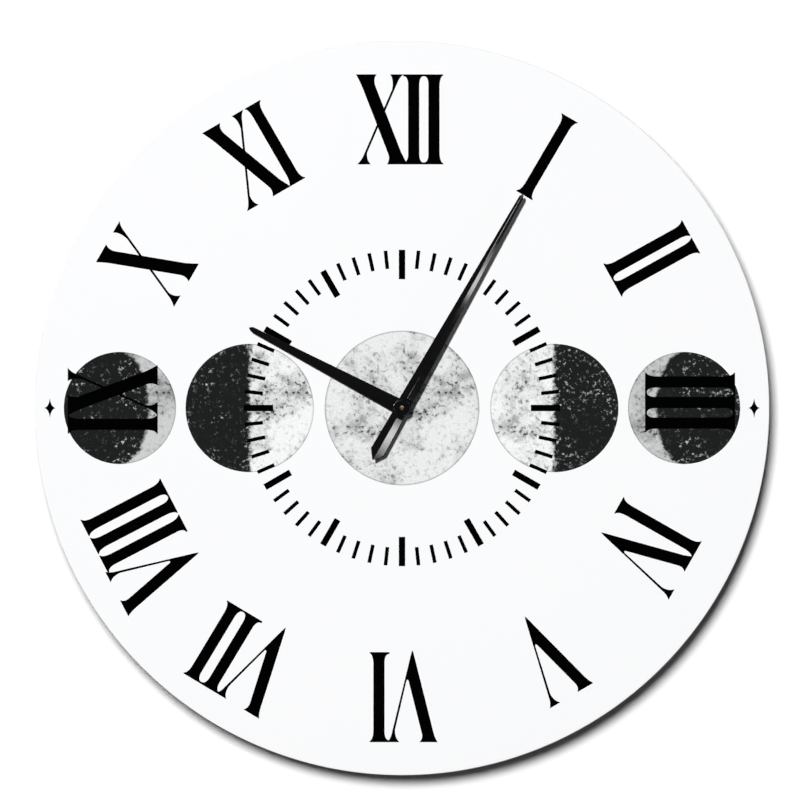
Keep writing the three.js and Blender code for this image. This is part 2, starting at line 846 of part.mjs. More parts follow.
function hourWheel() {
  const wheel = gear(hourTeeth, hourModule, hourPhase, hourLow, hourTop,
    (hourBore + hourTubeRadius) / 2);
  return join(wheel, tube(hourBore, hourTubeRadius, hourLow, hourTubeEnd));
}

// Setting knob and its pinion

function settingKnob() {
  const disc = rod(knobRadius, knobInset, knobInset + knobThickness, spindleAt, tubeFacets);
  const flutes = [];
  for (let i = 0; i < knobFlutes; i += 1) {
    const at = polar(knobRadius + knobFluteRadius / 2, i * 360 / knobFlutes);
    flutes.push(rod(knobFluteRadius, knobInset - overcut, cupFloorLow, at, fluteFacets));
  }
  const slot = block(-knobSlotLength / 2, knobSlotLength / 2, -knobSlotWidth / 2,
    knobSlotWidth / 2, knobInset - overcut, knobInset + knobSlotDepth);
  const shaft = rod(knobShaftRadius, knobInset + knobThickness - weld, motionLow - axialPlay);
  const spigot = rod(settingShaftRadius, motionLow - axialPlay - weld, frontPivotEnd);
  return movedTo(join(cut(disc, ...flutes, slot), shaft, spigot), settingAt);
}

function settingPinion() {
  const bore = settingShaftRadius + pivotClearance;
  return movedTo(gear(cannonTeeth, motionModule, settingPhase, motionLow, motionTop, bore),
    settingAt);
}

// Electronics and contacts

const boardLow = boardTopFace - boardThickness;
const boardMiddle = boardBottom + boardHeight / 2;

function circuitBoard() {
  return block(boardLeft, boardLeft + boardWidth, boardBottom, boardBottom + boardHeight,
    boardLow, boardTopFace);
}

// The chip lies under a dome of resin.
function clockChip() {
  const dome = [];
  for (let step = 0; step <= tipSteps; step += 1) {
    const turn = step / tipSteps * Math.PI / 2;
    dome.push([chipRadius * Math.sin(turn), boardLow - chipHeight * Math.cos(turn)]);
  }
  dome.push([0, boardLow]);
  return turned(dome, smallFacets, new THREE.Vector2(boardLeft + chipFromLeft, boardMiddle));
}

function crystalCan() {
  const geometry = new THREE.CylinderGeometry(
    crystalRadius, crystalRadius, crystalLength, smallFacets);
  geometry.rotateZ(Math.PI / 2);
  geometry.translate(
    boardLeft + crystalFromLeft, boardMiddle, boardLow - crystalRadius - pivotClearance);
  return toSolid(geometry);
}

function contactPlus() {
  const low = contactLow;
  const blade = block(contactFace, contactBack, cellCentre.y - contactWidth / 2,
    dividerTop + middlePlateLowerGap + boardHeight / 2, low, low + contactWidth);
  const tailLow = boardTopFace + pivotClearance;
  const tail = block(boardLeft + boardWidth - contactTailWidth, contactFace + weld,
    dividerTop + middlePlateLowerGap, dividerTop + middlePlateLowerGap + boardHeight / 2,
    tailLow, tailLow + contactThickness);
  return join(blade, tail);
}

function contactMinus() {
  const low = contactLow;
  const blade = block(-contactBack, -contactFace, cellCentre.y - contactWidth / 2,
    dividerTop + contactGap + contactThickness, low, low + contactWidth);
  const neck = block(-contactBack, -contactFace, dividerTop + contactGap,
    dividerTop + contactGap + contactThickness, boardLow - contactTailWidth - axialPlay,
    low + contactWidth / 2);
  const tail = block(-contactBack, boardLeft + contactTailWidth, dividerTop + contactGap,
    dividerTop + contactGap + contactThickness, boardLow - contactTailWidth - axialPlay,
    boardLow - axialPlay);
  return join(blade, neck, tail);
}

function batteryCell() {
  const half = cellLength / 2;
  const radius = cellDiameter / 2;
  const edge = cellEdgeRadius;
  const profile = [
    [0, -half], [radius - edge, -half], [radius, -half + edge], [radius, half - edge],
    [radius - edge, half], [cellNubRadius, half], [cellNubRadius, half + cellNubLength],
    [0, half + cellNubLength],
  ].map(([r, along]) => new THREE.Vector2(r, along - cellNubLength / 2));
  const geometry = new THREE.LatheGeometry(profile, tubeFacets);
  geometry.rotateZ(-Math.PI / 2);
  geometry.translate(cellCentre.x, cellCentre.y, frontFloor - cellGap - radius);
  return toSolid(geometry);
}

// Hands

// A closed skin through sections that all have the same number of corners.
function loft(sections) {
  const count = sections[0].length;
  const positions = sections.flat().flatMap((corner) => [corner.x, corner.y, corner.z]);
  const index = [];
  for (let s = 0; s + 1 < sections.length; s += 1) {
    for (let i = 0; i < count; i += 1) {
      const a = s * count + i;
      const b = s * count + (i + 1) % count;
      index.push(a, b, a + count, b, b + count, a + count);
    }
  }
  const flat = sections[0].map((corner) => new THREE.Vector2(corner.x, corner.z));
  const last = (sections.length - 1) * count;
  for (const [a, b, c] of THREE.ShapeUtils.triangulateShape(flat, [])) {
    index.push(a, c, b);
    index.push(last + a, last + b, last + c);
  }
  const geometry = new THREE.BufferGeometry();
  geometry.setAttribute('position', new THREE.Float32BufferAttribute(positions, 3));
  geometry.setIndex(index);
  return toSolid(geometry);
}

// One section of folded sheet: flat at both edges and raised along the fold.
function foldSection(halfWidth, along, base) {
  const crest = base + halfWidth * Math.tan(handFoldAngle * degrees);
  return [
    new THREE.Vector3(-halfWidth, along, base),
    new THREE.Vector3(0, along, crest),
    new THREE.Vector3(halfWidth, along, base),
    new THREE.Vector3(halfWidth, along, base + handSheet),
    new THREE.Vector3(0, along, crest + handSheet),
    new THREE.Vector3(-halfWidth, along, base + handSheet),
  ];
}

// A tapering folded blade that points along +y, from inside the hub to a rounded tip.
function blade(length, rootWidth, tipWidth, base) {
  const tipHalf = tipWidth / 2;
  const straightEnd = length - tipHalf;
  const sections = [
    foldSection(rootWidth / 2, bladeStart, base),
    foldSection(tipHalf, straightEnd, base),
  ];
  for (let step = 1; step <= tipSteps; step += 1) {
    const turn = step / tipSteps * tipTurn * degrees;
    const along = straightEnd + tipHalf * Math.sin(turn) / Math.sin(tipTurn * degrees);
    sections.push(foldSection(tipHalf * Math.cos(turn), along, base));
  }
  return loft(sections);
}

// The minute hand's tail, along -y. Its ridge stays level while its edges run together to a point.
function pointedTail(base) {
  const endHalf = minuteTailEndWidth / 2;
  const pointHalf = minuteTailPointWidth / 2;
  const rise = (endHalf - pointHalf) * Math.tan(handFoldAngle * degrees);
  return loft([
    foldSection(pointHalf, -minuteTailLength, base + rise),
    foldSection(endHalf, minuteTailPointLength - minuteTailLength, base),
    foldSection(minuteTailRootWidth / 2, -bladeStart, base),
  ]);
}

function handOf(blades, bore, base, angle) {
  const hub = rod(handHubRadius, base, base + handSheet, spindleAt, tubeFacets);
  const top = base + handSheet;
  const flat = rod(nutRadius + nutClearance, top, top + overcut, spindleAt, tubeFacets);
  const hole = rod(bore, base - overcut, top + overcut, spindleAt, tubeFacets);
  return cut(join(cut(join(...blades), flat), hub), hole).rotate([0, 0, -angle]);
}

function hourHand() {
  const base = hourHandLow;
  const main = blade(hourHandLength, hourHandRootWidth, hourHandTipWidth, base);
  return handOf([main], hourTubeRadius + handFitClearance, base, hourHandAngle);
}

function minuteHand() {
  const base = minuteHandLow;
  const main = blade(minuteHandLength, minuteHandRootWidth, minuteHandTipWidth, base);
  const bore = minuteTubeRadius + handFitClearance;
  return handOf([main, pointedTail(base)], bore, base, minuteHandAngle);
}

function hourHandBush() {
  const inner = hourTubeRadius + handFitClearance;
  return tube(inner, inner + hourBushWall, hourHandLow - hourBushLength, hourHandLow);
}

function handNut() {
  const bore = minuteTubeRadius + handFitClearance;
  const tipHole = secondsArborRadius + tubeClearance;
  const faceLow = nutTop - nutFaceThickness;
  const profile = [[bore, nutLow], [nutRadius, nutLow]];
  for (let step = 0; step <= tipSteps; step += 1) {
    const turn = step / tipSteps * Math.PI / 2;
    profile.push([
      nutRadius - nutEdgeRadius * (1 - Math.cos(turn)),
      nutTop - nutEdgeRadius * (1 - Math.sin(turn)),
    ]);
  }
  profile.push([tipHole, nutTop], [tipHole, faceLow], [bore, faceLow]);
  return turned(profile, tubeFacets);
}

// Materials

function material(color, roughness, metalness = 0) {
  return new THREE.MeshStandardMaterial({ color, roughness, metalness });
}

const dialWhite = material('#f8f9fb', 0.55);
const handBlack = material('#161616', 0.35, 0.2);
const caseBlack = material('#1c1d1f', 0.6);
const foam = material('#2a2a2c', 0.95);
const mouldedWhite = material('#e6e4dc', 0.5);
const mouldedAmber = material('#d8c48a', 0.45);
const brass = material('#c39a52', 0.3, 0.9);
const steel = material('#a9adb2', 0.35, 0.9);
const magnetGrey = material('#4b4d52', 0.5, 0.4);
const copper = material('#b4602f', 0.4, 0.8);
const boardGreen = material('#2f6b3c', 0.6);
const resinBlack = material('#101012', 0.4);
const cellGreen = material('#2c6e49', 0.35, 0.3);

// The clock

const pieces = [
  ['dial', dial(), dialWhite],
  ['mounting_pad', mountingPad(), foam],
  ['front_case', frontCase(), caseBlack],
  ['back_cover', backCover(), caseBlack],
  ['hanger_clip', hangerClip(), caseBlack],
  ['middle_plate', middlePlate(), mouldedWhite],
  ['stator', stator(), steel],
  ['coil_core', coilCore(), steel],
  ['coil_bobbin', coilBobbin(), mouldedWhite],
  ['coil_winding', coilWinding(), copper],
  ['rotor_magnet', rotorMagnet(), magnetGrey],
  ['rotor_pinion', rotorPinion(), mouldedAmber],
  ['intermediate_wheel', intermediateWheel(), mouldedAmber],
  ['seconds_wheel', secondsWheel(), mouldedWhite],
  ['seconds_arbor', secondsArbor(), brass],
  ['third_wheel', thirdWheel(), mouldedWhite],
  ['clutch_gear', clutchGear(), mouldedAmber],
  ['clutch_spring', clutchSpring(), steel],
  ['minute_arbor', minuteArbor(), brass],
  ['motion_wheel', motionWheel(), mouldedWhite],
  ['hour_wheel', hourWheel(), mouldedAmber],
  ['hour_hand_bush', hourHandBush(), brass],
  ['setting_knob', settingKnob(), mouldedWhite],
  ['setting_pinion', settingPinion(), mouldedWhite],
  ['circuit_board', circuitBoard(), boardGreen],
  ['clock_chip', clockChip(), resinBlack],
  ['crystal_can', crystalCan(), steel],
  ['contact_plus', contactPlus(), steel],
  ['contact_minus', contactMinus(), steel],
  ['battery_cell', batteryCell(), cellGreen],
  ['hour_hand', hourHand(), handBlack],
  ['minute_hand', minuteHand(), handBlack],
  ['hand_nut', handNut(), handBlack],
];

const clock = new THREE.Group();
for (const [name, solid, finish] of pieces) {
  const mesh = new THREE.Mesh(toGeometry(solid), finish);
  mesh.name = name;
  clock.add(mesh);
}
clock.rotation.x = Math.PI / 2;

export default clock;
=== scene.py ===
"""Looks of a frameless moon phase wall clock, built around its solid model.

Metres, with +Z up. The dial faces -Y and the spindle lies on the Y axis. What is printed on the dial
is drawn in millimetres and scaled once, by MM.
"""

import json
import math

import bmesh
import bpy
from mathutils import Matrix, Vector
from mathutils.geometry import delaunay_2d_cdt

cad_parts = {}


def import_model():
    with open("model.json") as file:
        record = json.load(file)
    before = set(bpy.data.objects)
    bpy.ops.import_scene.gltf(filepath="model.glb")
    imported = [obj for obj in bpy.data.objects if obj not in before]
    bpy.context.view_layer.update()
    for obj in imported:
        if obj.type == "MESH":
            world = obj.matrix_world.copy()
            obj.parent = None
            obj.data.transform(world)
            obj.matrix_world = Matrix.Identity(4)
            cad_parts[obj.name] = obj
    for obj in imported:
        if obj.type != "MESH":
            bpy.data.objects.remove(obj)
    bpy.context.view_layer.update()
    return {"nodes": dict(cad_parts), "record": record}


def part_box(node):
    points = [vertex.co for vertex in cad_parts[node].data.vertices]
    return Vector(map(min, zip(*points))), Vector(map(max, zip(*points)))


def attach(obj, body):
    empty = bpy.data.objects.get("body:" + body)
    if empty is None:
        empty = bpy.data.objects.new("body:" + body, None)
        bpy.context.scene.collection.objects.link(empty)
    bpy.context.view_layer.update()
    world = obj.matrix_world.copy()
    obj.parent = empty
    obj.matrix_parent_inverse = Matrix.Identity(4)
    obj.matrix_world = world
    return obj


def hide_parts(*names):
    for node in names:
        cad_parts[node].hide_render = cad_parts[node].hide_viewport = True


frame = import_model()

MM = 0.001

# Driving sizes, from the frame
DIAL_LOW, DIAL_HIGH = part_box("dial")
DIAL_RADIUS = DIAL_HIGH.x
DIAL_FACE = DIAL_LOW.y
DIAL_BACK = DIAL_HIGH.y
NUT_LOW, NUT_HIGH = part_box("hand_nut")
NUT_RADIUS = NUT_HIGH.x
HOUR_HAND_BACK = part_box("hour_hand")[1].y
MINUTE_HAND_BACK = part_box("minute_hand")[1].y

# Camera, at the photograph's distance and angle
LENS = 240
SENSOR = 36
CAMERA_DISTANCE = 2.178
CAMERA_SIDE = -0.82 * MM
CAMERA_UP = 3.27 * MM

# Round pieces: corners round the axis, and the angle in degrees from which an edge shows as sharp
DIAL_CORNERS = 360
HUB_CORNERS = 96
ARBOR_CORNERS = 48
SHARP_ANGLE = 35
DIAL_EDGE = 0.4 * MM

# Printing on the dial. The sizes of the numerals and of the track are in millimetres. A tick has the
# place of its inner end and its width.
PRINT_SINK = 0.05 * MM
MOON_PROUD = 0.02 * MM
INK_PROUD = 0.045 * MM
NUMERAL_FOOT = 99.6
NUMERAL_HEIGHT = 36.75
STEM = 4.55
SERIF_REACH = 1.55
SERIF_DEPTH = 4.4
SERIF_EDGE = 0.35
JOINED_EDGE = 0.75
SERIF_GAP = 0.4
BAR_PITCH = 8.4
TRACK_OUTER = 64.6
HOUR_TICK = (52.6, 2.6)
MINUTE_TICK = (57.1, 1.5)
DISC_CORNERS = 128
CURVE_STEPS = 8

# Middle of the plus sign in the back cover, to the right of the spindle and above it, and the half
# length and half width of a stroke, in millimetres. The minus sign is as far to the left.
SIGN_PLACE = (21.5, -7.6)
SIGN_STROKE = (1.7, 0.3)

# Hands. A blade has its length and its widths at the spindle and at the tip. The tail has its length,
# its widths at the spindle and at the shoulder, and the length and the width of its point.
HOUR_BLADE = (70.4 * MM, 6.3 * MM, 2.1 * MM)
MINUTE_BLADE = (100 * MM, 6 * MM, 1.84 * MM)
MINUTE_TAIL = (24.3 * MM, 5.2 * MM, 6 * MM, 3.9 * MM, 0.3 * MM)
SHEET = 0.4 * MM
FOLD = math.radians(12)
HUB_RADIUS = 3.7 * MM
MINUTE_ANGLE = math.radians(29.5)
HOUR_ANGLE = math.radians(297.7)
HAND_EDGE = 0.05 * MM
HAND_SHARP_ANGLE = 4
HUB_EDGE = 0.25 * MM
HUB_EDGE_STEPS = 24
CREASE_RADIUS = 0.18 * MM
CREASE_STEPS = 4
TIP_STEPS = 6
POINT_LENGTH_SHARE = 0.8
NUT_EDGE = 0.7 * MM
ARBOR_DOME = 0.3 * MM


# Node helpers

def node(tree, kind, inputs=None, **settings):
    made = tree.nodes.new(kind)
    for key, value in settings.items():
        setattr(made, key, value)
    for key, value in (inputs or {}).items():
        socket = made.inputs[key]
        if isinstance(value, bpy.types.NodeSocket):
            tree.links.new(value, socket)
        else:
            socket.default_value = value
    return made


def place(tree):
    return node(tree, "ShaderNodeTexCoord").outputs["Object"]


def noise(tree, scale, detail=4.0, roughness=0.5, vector=None, distortion=0.0):
    inputs = {
        "Vector": vector or place(tree), "Scale": scale, "Detail": detail,
        "Roughness": roughness, "Distortion": distortion,
    }
    return node(tree, "ShaderNodeTexNoise", inputs).outputs[0]


def cells(tree, scale, feature="F1", randomness=1.0):
    inputs = {"Vector": place(tree), "Scale": scale, "Randomness": randomness}
    return node(tree, "ShaderNodeTexVoronoi", inputs, feature=feature).outputs["Distance"]


def spread(tree, value, low, high, to_low=0.0, to_high=1.0):
    inputs = {
        "Value": value, "From Min": low, "From Max": high, "To Min": to_low, "To Max": to_high,
    }
    made = node(tree, "ShaderNodeMapRange", inputs, interpolation_type="SMOOTHSTEP")
    return made.outputs["Result"]


def maths(tree, operation, *values):
    made = node(tree, "ShaderNodeMath", operation=operation)
    for socket, value in zip(made.inputs, values):
        if isinstance(value, bpy.types.NodeSocket):
            tree.links.new(value, socket)
        else:
            socket.default_value = value
    return made.outputs[0]


def mixed(tree, share, first, second):
    made = node(tree, "ShaderNodeMix", data_type="RGBA")
    sockets = (made.inputs[0], made.inputs[6], made.inputs[7])
    for socket, value in zip(sockets, (share, first, second)):
        if isinstance(value, bpy.types.NodeSocket):
            tree.links.new(value, socket)
        elif isinstance(value, (int, float)):
            socket.default_value = value
        else:
            socket.default_value = (*value, 1.0)
    return made.outputs[2]


def bumped(tree, shader, height, distance, strength):
    inputs = {"Height": height, "Distance": distance, "Strength": strength}
    bump = node(tree, "ShaderNodeBump", inputs)
    tree.links.new(bump.outputs["Normal"], shader.inputs["Normal"])


def new_material(name, **values):
    material = bpy.data.materials.new(name)
    material.use_nodes = True
    shader = material.node_tree.nodes["Principled BSDF"]
    for key, value in values.items():
        shader.inputs[key.replace("_", " ")].default_value = value
    return material, material.node_tree, shader


def paint(tree, shader, colour, roughness=None):
    tree.links.new(colour, shader.inputs["Base Color"])
    if roughness is not None:
        tree.links.new(roughness, shader.inputs["Roughness"])


# Materials of the dial and its print

def dial_white():
    material, tree, shader = new_material("dial_white", Specular_IOR_Level=0.2)
    cloud = noise(tree, 14, 5, 0.6)
    colour = mixed(tree, cloud, (0.925, 0.93, 0.942), (0.939, 0.942, 0.949))
    fine = noise(tree, 900, 2, 0.5)
    paint(tree, shader, colour, spread(tree, fine, 0.2, 0.8, 0.5, 0.62))
    bumped(tree, shader, fine, 0.02 * MM, 0.15)
    return material


def dial_back():
    material, tree, shader = new_material("dial_back")
    fibre = noise(tree, 240, 6, 0.7)
    colour = mixed(tree, fibre, (0.44, 0.435, 0.42), (0.54, 0.535, 0.52))
    paint(tree, shader, colour, spread(tree, fibre, 0.2, 0.8, 0.6, 0.8))
    bumped(tree, shader, fibre, 0.05 * MM, 0.4)
    return material


def ink():
    material, tree, shader = new_material("ink_black", Specular_IOR_Level=0.0)
    grain = noise(tree, 1500, 2, 0.5)
    colour = mixed(tree, grain, (0.0002, 0.0002, 0.0002), (0.0012, 0.0012, 0.0012))
    paint(tree, shader, colour, spread(tree, grain, 0.2, 0.8, 0.7, 0.85))
    return material


def moon_lit_share(tree, across, up_squared, terminator, lit_side):
    """One on the lit part of a moon. It ends roughly at an ellipse, terminator radii from the middle."""
    half = maths(tree, "SQRT", maths(tree, "MAXIMUM", maths(tree, "SUBTRACT", 1.0, up_squared), 0.0))
    rough = maths(tree, "MULTIPLY_ADD", noise(tree, 300, 8, 0.75), 0.34, -0.17)
    reach = maths(tree, "MULTIPLY_ADD", across, lit_side, rough)
    past = maths(tree, "SUBTRACT", reach, maths(tree, "MULTIPLY", half, terminator))
    return spread(tree, past, -0.03, 0.05)


def moon_bright(tree, mottle, shade):
    """Pale ink, worn in patches and specks, and darkened by shade."""
    patches = spread(tree, noise(tree, 36, 8, 0.68, distortion=0.4), 0.42, 0.6)
    specks = spread(tree, noise(tree, 560, 3, 0.6), 0.53, 0.66)
    grain = spread(tree, noise(tree, 1500, 2, 0.5), 0.4, 0.7)
    wear = maths(tree, "MULTIPLY", patches, maths(tree, "MULTIPLY_ADD", mottle, 0.42, 0.18))
    wear = maths(tree, "MULTIPLY_ADD", specks, maths(tree, "MULTIPLY_ADD", patches, 0.4, 0.22), wear)
    wear = maths(tree, "MULTIPLY_ADD", grain, 0.12, wear)
    bright = mixed(tree, wear, (0.93, 0.94, 0.942), (0.06, 0.063, 0.064))
    return mixed(tree, shade, bright, (0.05, 0.052, 0.052))


def moon_dark(tree):
    """Near-black ink with drifts of pale dust and a few brighter grains."""
    drifts = spread(tree, noise(tree, 62, 6, 0.7, distortion=0.5), 0.44, 0.6)
    dust = spread(tree, noise(tree, 820, 2, 0.6), 0.56, 0.76)
    pale = maths(tree, "MULTIPLY", dust, maths(tree, "MULTIPLY_ADD", drifts, 0.85, 0.06))
    grains = spread(tree, cells(tree, 150), 0.03, 0.09, 1.0, 0.0)
    dark = mixed(tree, pale, (0.0125, 0.0145, 0.014), (0.62, 0.63, 0.63))
    return mixed(tree, maths(tree, "MULTIPLY", grains, 0.7), dark, (0.75, 0.76, 0.76))


def moon_print(name, radius, terminator, lit_side, shade):
    """Print of one phase, with a thin dark line round its edge."""
    material, tree, shader = new_material(name, Specular_IOR_Level=0.1)
    axes = node(tree, "ShaderNodeSeparateXYZ", {0: place(tree)})
    across = maths(tree, "DIVIDE", axes.outputs["X"], radius)
    up = maths(tree, "DIVIDE", axes.outputs["Z"], radius)
    up_squared = maths(tree, "MULTIPLY", up, up)
    mottle = spread(tree, noise(tree, 210, 4, 0.65), 0.42, 0.62)
    lit = moon_lit_share(tree, across, up_squared, terminator, lit_side)
    ink_colour = mixed(tree, lit, moon_dark(tree), moon_bright(tree, mottle, shade))
    from_middle = maths(tree, "MULTIPLY_ADD", across, across, up_squared)
    limb = spread(tree, from_middle, 0.94, 1.0, 0.0, 0.45)
    colour = mixed(tree, limb, ink_colour, (0.03, 0.032, 0.032))
    paint(tree, shader, colour, spread(tree, mottle, 0.0, 1.0, 0.5, 0.7))
    return material


# Materials of the hands and the spindle

def hand_black():
    material, tree, shader = new_material("hand_black", IOR=1.55)
    grain = noise(tree, 700, 3, 0.5)
    colour = mixed(tree, grain, (0.004, 0.004, 0.0045), (0.0075, 0.0075, 0.008))
    paint(tree, shader, colour, spread(tree, noise(tree, 160, 4, 0.6), 0.3, 0.7, 0.06, 0.08))
    bumped(tree, shader, grain, 0.001 * MM, 0.1)
    return material


def nut_black():
    material, tree, shader = new_material("nut_black", Specular_IOR_Level=0.15)
    grain = noise(tree, 900, 3, 0.5)
    colour = mixed(tree, grain, (0.003, 0.0035, 0.004), (0.006, 0.0065, 0.007))
    paint(tree, shader, colour, spread(tree, grain, 0.3, 0.7, 0.14, 0.2))
    bumped(tree, shader, grain, 0.001 * MM, 0.1)
    return material


def turned_metal(name, colour_low, colour_high, low, high, **values):
    """Lathe-turned metal: fine rings round the Y axis."""
    material, tree, shader = new_material(name, Metallic=1.0, **values)
    rings = node(tree, "ShaderNodeTexWave", {
        "Vector": place(tree), "Scale": 1800, "Distortion": 1.5, "Detail": 2,
    }, wave_type="RINGS", rings_direction="Y").outputs[1]
    tarnish = noise(tree, 420, 4, 0.6)
    paint(tree, shader, mixed(tree, tarnish, colour_low, colour_high),
          spread(tree, tarnish, 0.3, 0.7, low, high))
    bumped(tree, shader, rings, 0.004 * MM, 0.4)
    return material


# Materials behind the dial

def moulded(name, colour_low, colour_high, low, high, grain_scale=2600, depth=0.03):
    """Moulded plastic: an even spark-eroded grain and a slow drift of tone."""
    material, tree, shader = new_material(name)
    grain = noise(tree, grain_scale, 3, 0.6)
    drift = noise(tree, 35, 3, 0.5)
    paint(tree, shader, mixed(tree, drift, colour_low, colour_high),
          spread(tree, grain, 0.25, 0.75, low, high))
    bumped(tree, shader, grain, depth * MM, 0.5)
    return material


def within(tree, value, middle, half):
    """One where the value is within half of the middle."""
    edge = 0.06 * MM
    away = maths(tree, "ABSOLUTE", maths(tree, "SUBTRACT", value, middle))
    return spread(tree, away, half - edge, half + edge, 1.0, 0.0)


def stroke(tree, across, up, x, z, half_width, half_height):
    """One inside a level or upright bar about a middle point."""
    covered = within(tree, across, x, half_width)
    return maths(tree, "MULTIPLY", covered, within(tree, up, z, half_height))


def cover_black():
    """The case's plastic, with a sunk plus and minus sign over the ends of the battery bay. The signs
    are coloured darker than the plastic as painted shade in the sinking.
    """
    material, tree, shader = new_material("cover_black")
    axes = node(tree, "ShaderNodeSeparateXYZ", {0: place(tree)})
    across = axes.outputs["X"]
    up = axes.outputs["Z"]
    x = SIGN_PLACE[0] * MM
    z = SIGN_PLACE[1] * MM
    long = SIGN_STROKE[0] * MM
    short = SIGN_STROKE[1] * MM
    plus = maths(tree, "MAXIMUM", stroke(tree, across, up, x, z, long, short),
                 stroke(tree, across, up, x, z, short, long))
    sunk_signs_and_shade = maths(tree, "MAXIMUM", plus, stroke(tree, across, up, -x, z, long, short))
    grain = noise(tree, 2600, 3, 0.6)
    plain = mixed(tree, noise(tree, 35, 3, 0.5), (0.016, 0.016, 0.0175), (0.024, 0.024, 0.026))
    # Painted shade: the sunk signs are coloured near black, darker than the plastic round them
    paint(tree, shader, mixed(tree, sunk_signs_and_shade, plain, (0.006, 0.006, 0.007)),
          spread(tree, grain, 0.25, 0.75, 0.42, 0.62))
    height = maths(tree, "MULTIPLY_ADD", sunk_signs_and_shade, -8.0, grain)
    bumped(tree, shader, height, 0.03 * MM, 0.5)
    return material


def foam():
    material, tree, shader = new_material("foam_black")
    bubble_pits_and_shade = cells(tree, 1700)
    # The bubbles' pits, which the bump sinks, are coloured darker: painted shade in the pits
    paint(tree, shader, mixed(tree, bubble_pits_and_shade, (0.012, 0.012, 0.013), (0.05, 0.05, 0.052)),
          spread(tree, bubble_pits_and_shade, 0.0, 0.7, 0.95, 0.85))
    bumped(tree, shader, bubble_pits_and_shade, 0.2 * MM, 0.8)
    return material


def stamped_steel(name, colour_low, colour_high, low, high):
    """Rolled sheet: long faint streaks along X."""
    material, tree, shader = new_material(name, Metallic=1.0)
    stretched = node(tree, "ShaderNodeMapping", {"Vector": place(tree), "Scale": (40, 2200, 2200)})
    streak = noise(tree, 1, 4, 0.6, vector=stretched.outputs[0])
    paint(tree, shader, mixed(tree, streak, colour_low, colour_high),
          spread(tree, streak, 0.3, 0.7, low, high))
    bumped(tree, shader, streak, 0.005 * MM, 0.4)
    return material


def sintered():
    material, tree, shader = new_material("magnet_grey", Metallic=0.6)
    grain = cells(tree, 4200)
    # Darker in the middle of each grain, where the bump sinks a pit: painted shade in the pits
    paint(tree, shader, mixed(tree, grain, (0.07, 0.07, 0.075), (0.17, 0.17, 0.18)),
          spread(tree, grain, 0.0, 0.7, 0.4, 0.6))
    bumped(tree, shader, grain, 0.02 * MM, 0.6)
    return material


def copper_wire():
    material, tree, shader = new_material("copper", Metallic=1.0, Roughness=0.3)
    turns = node(tree, "ShaderNodeTexWave", {
        "Vector": place(tree), "Scale": 3200, "Distortion": 0.6, "Detail": 1,
    }, wave_type="BANDS", bands_direction="Z").outputs[1]
    # Dark between the turns of wire, where the bump sinks: painted shade between the turns
    paint(tree, shader, mixed(tree, turns, (0.24, 0.07, 0.02), (0.72, 0.28, 0.1)))
    bumped(tree, shader, turns, 0.05 * MM, 0.8)
    return material


def solder_mask():
    material, tree, shader = new_material("board_green")
    track = spread(tree, cells(tree, 420, "DISTANCE_TO_EDGE", randomness=0.35), 0.06, 0.09)
    weave = noise(tree, 1300, 2, 0.5)
    paint(tree, shader, mixed(tree, track, (0.02, 0.11, 0.045), (0.035, 0.21, 0.08)),
          spread(tree, weave, 0.3, 0.7, 0.3, 0.45))
    bumped(tree, shader, track, 0.03 * MM, 0.5)
    return material


def cell_jacket():
    """Printed foil: a green sleeve with a silver band at the plus end, and plain metal ends."""
    material, tree, shader = new_material("cell_jacket")
    low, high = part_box("battery_cell")
    along = node(tree, "ShaderNodeSeparateXYZ", {0: place(tree)}).outputs["X"]
    sleeve_end = high.x - 1.6 * MM
    band_start = high.x - 11 * MM
    edge = 0.15 * MM
    band = spread(tree, along, band_start - edge, band_start + edge)
    ends = maths(tree, "MAXIMUM", spread(tree, along, sleeve_end - edge, sleeve_end + edge),
                 spread(tree, along, low.x + 0.25 * MM, low.x + 0.45 * MM, 1.0, 0.0))
    flake = noise(tree, 1200, 2, 0.5)
    line = within(tree, along, band_start - 1.1 * MM, 0.35 * MM)
    green = mixed(tree, flake, (0.012, 0.13, 0.055), (0.016, 0.15, 0.066))
    silver = mixed(tree, flake, (0.56, 0.57, 0.58), (0.64, 0.65, 0.66))
    sleeve = mixed(tree, maths(tree, "MAXIMUM", band, line), green, silver)
    paint(tree, shader, mixed(tree, ends, sleeve, (0.66, 0.66, 0.65)),
          spread(tree, flake, 0.3, 0.7, 0.16, 0.22))
    metal = maths(tree, "MAXIMUM", ends, maths(tree, "MULTIPLY", band, 0.7))
    tree.links.new(metal, shader.inputs["Metallic"])
    bumped(tree, shader, flake, 0.004 * MM, 0.3)
    return material


# Mesh helpers

def finish_piece(piece, material, body, slot_name, *replaced):
    """Gives a new piece its material, its body and the nodes it stands for."""
    piece.data.materials.append(material)
    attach(piece, body)
    if replaced:
        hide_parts(*replaced)
    return piece


def mesh_piece(name, corners, faces, smooth_angle=None):
    mesh = bpy.data.meshes.new(name)
    mesh.from_pydata([tuple(c) for c in corners], [], faces)
    mesh.validate()
    if smooth_angle is not None:
        mesh.shade_smooth()
        mesh.set_sharp_from_angle(angle=math.radians(smooth_angle))
    piece = bpy.data.objects.new(name, mesh)
    bpy.context.scene.collection.objects.link(piece)
    return piece


def baked(piece):
    """Makes what the piece's modifiers show its own mesh."""
    bpy.context.view_layer.update()
    shown = piece.evaluated_get(bpy.context.evaluated_depsgraph_get())
    made = bpy.data.meshes.new_from_object(shown)
    piece.modifiers.clear()
    piece.data = made


def turned_piece(name, profile, corners):
    """A closed profile of (radius, y) pairs turned about the Y axis."""
    points = []
    faces = []
    count = len(profile)
    for step in range(corners):
        turn = 2 * math.pi * step / corners
        points += [(r * math.cos(turn), y, r * math.sin(turn)) for r, y in profile]
    for step in range(corners):
        here = step * count
        there = (step + 1) % corners * count
        for i in range(count):
            j = (i + 1) % count
            faces.append((here + i, here + j, there + j, there + i))
    return mesh_piece(name, points, faces, SHARP_ANGLE)


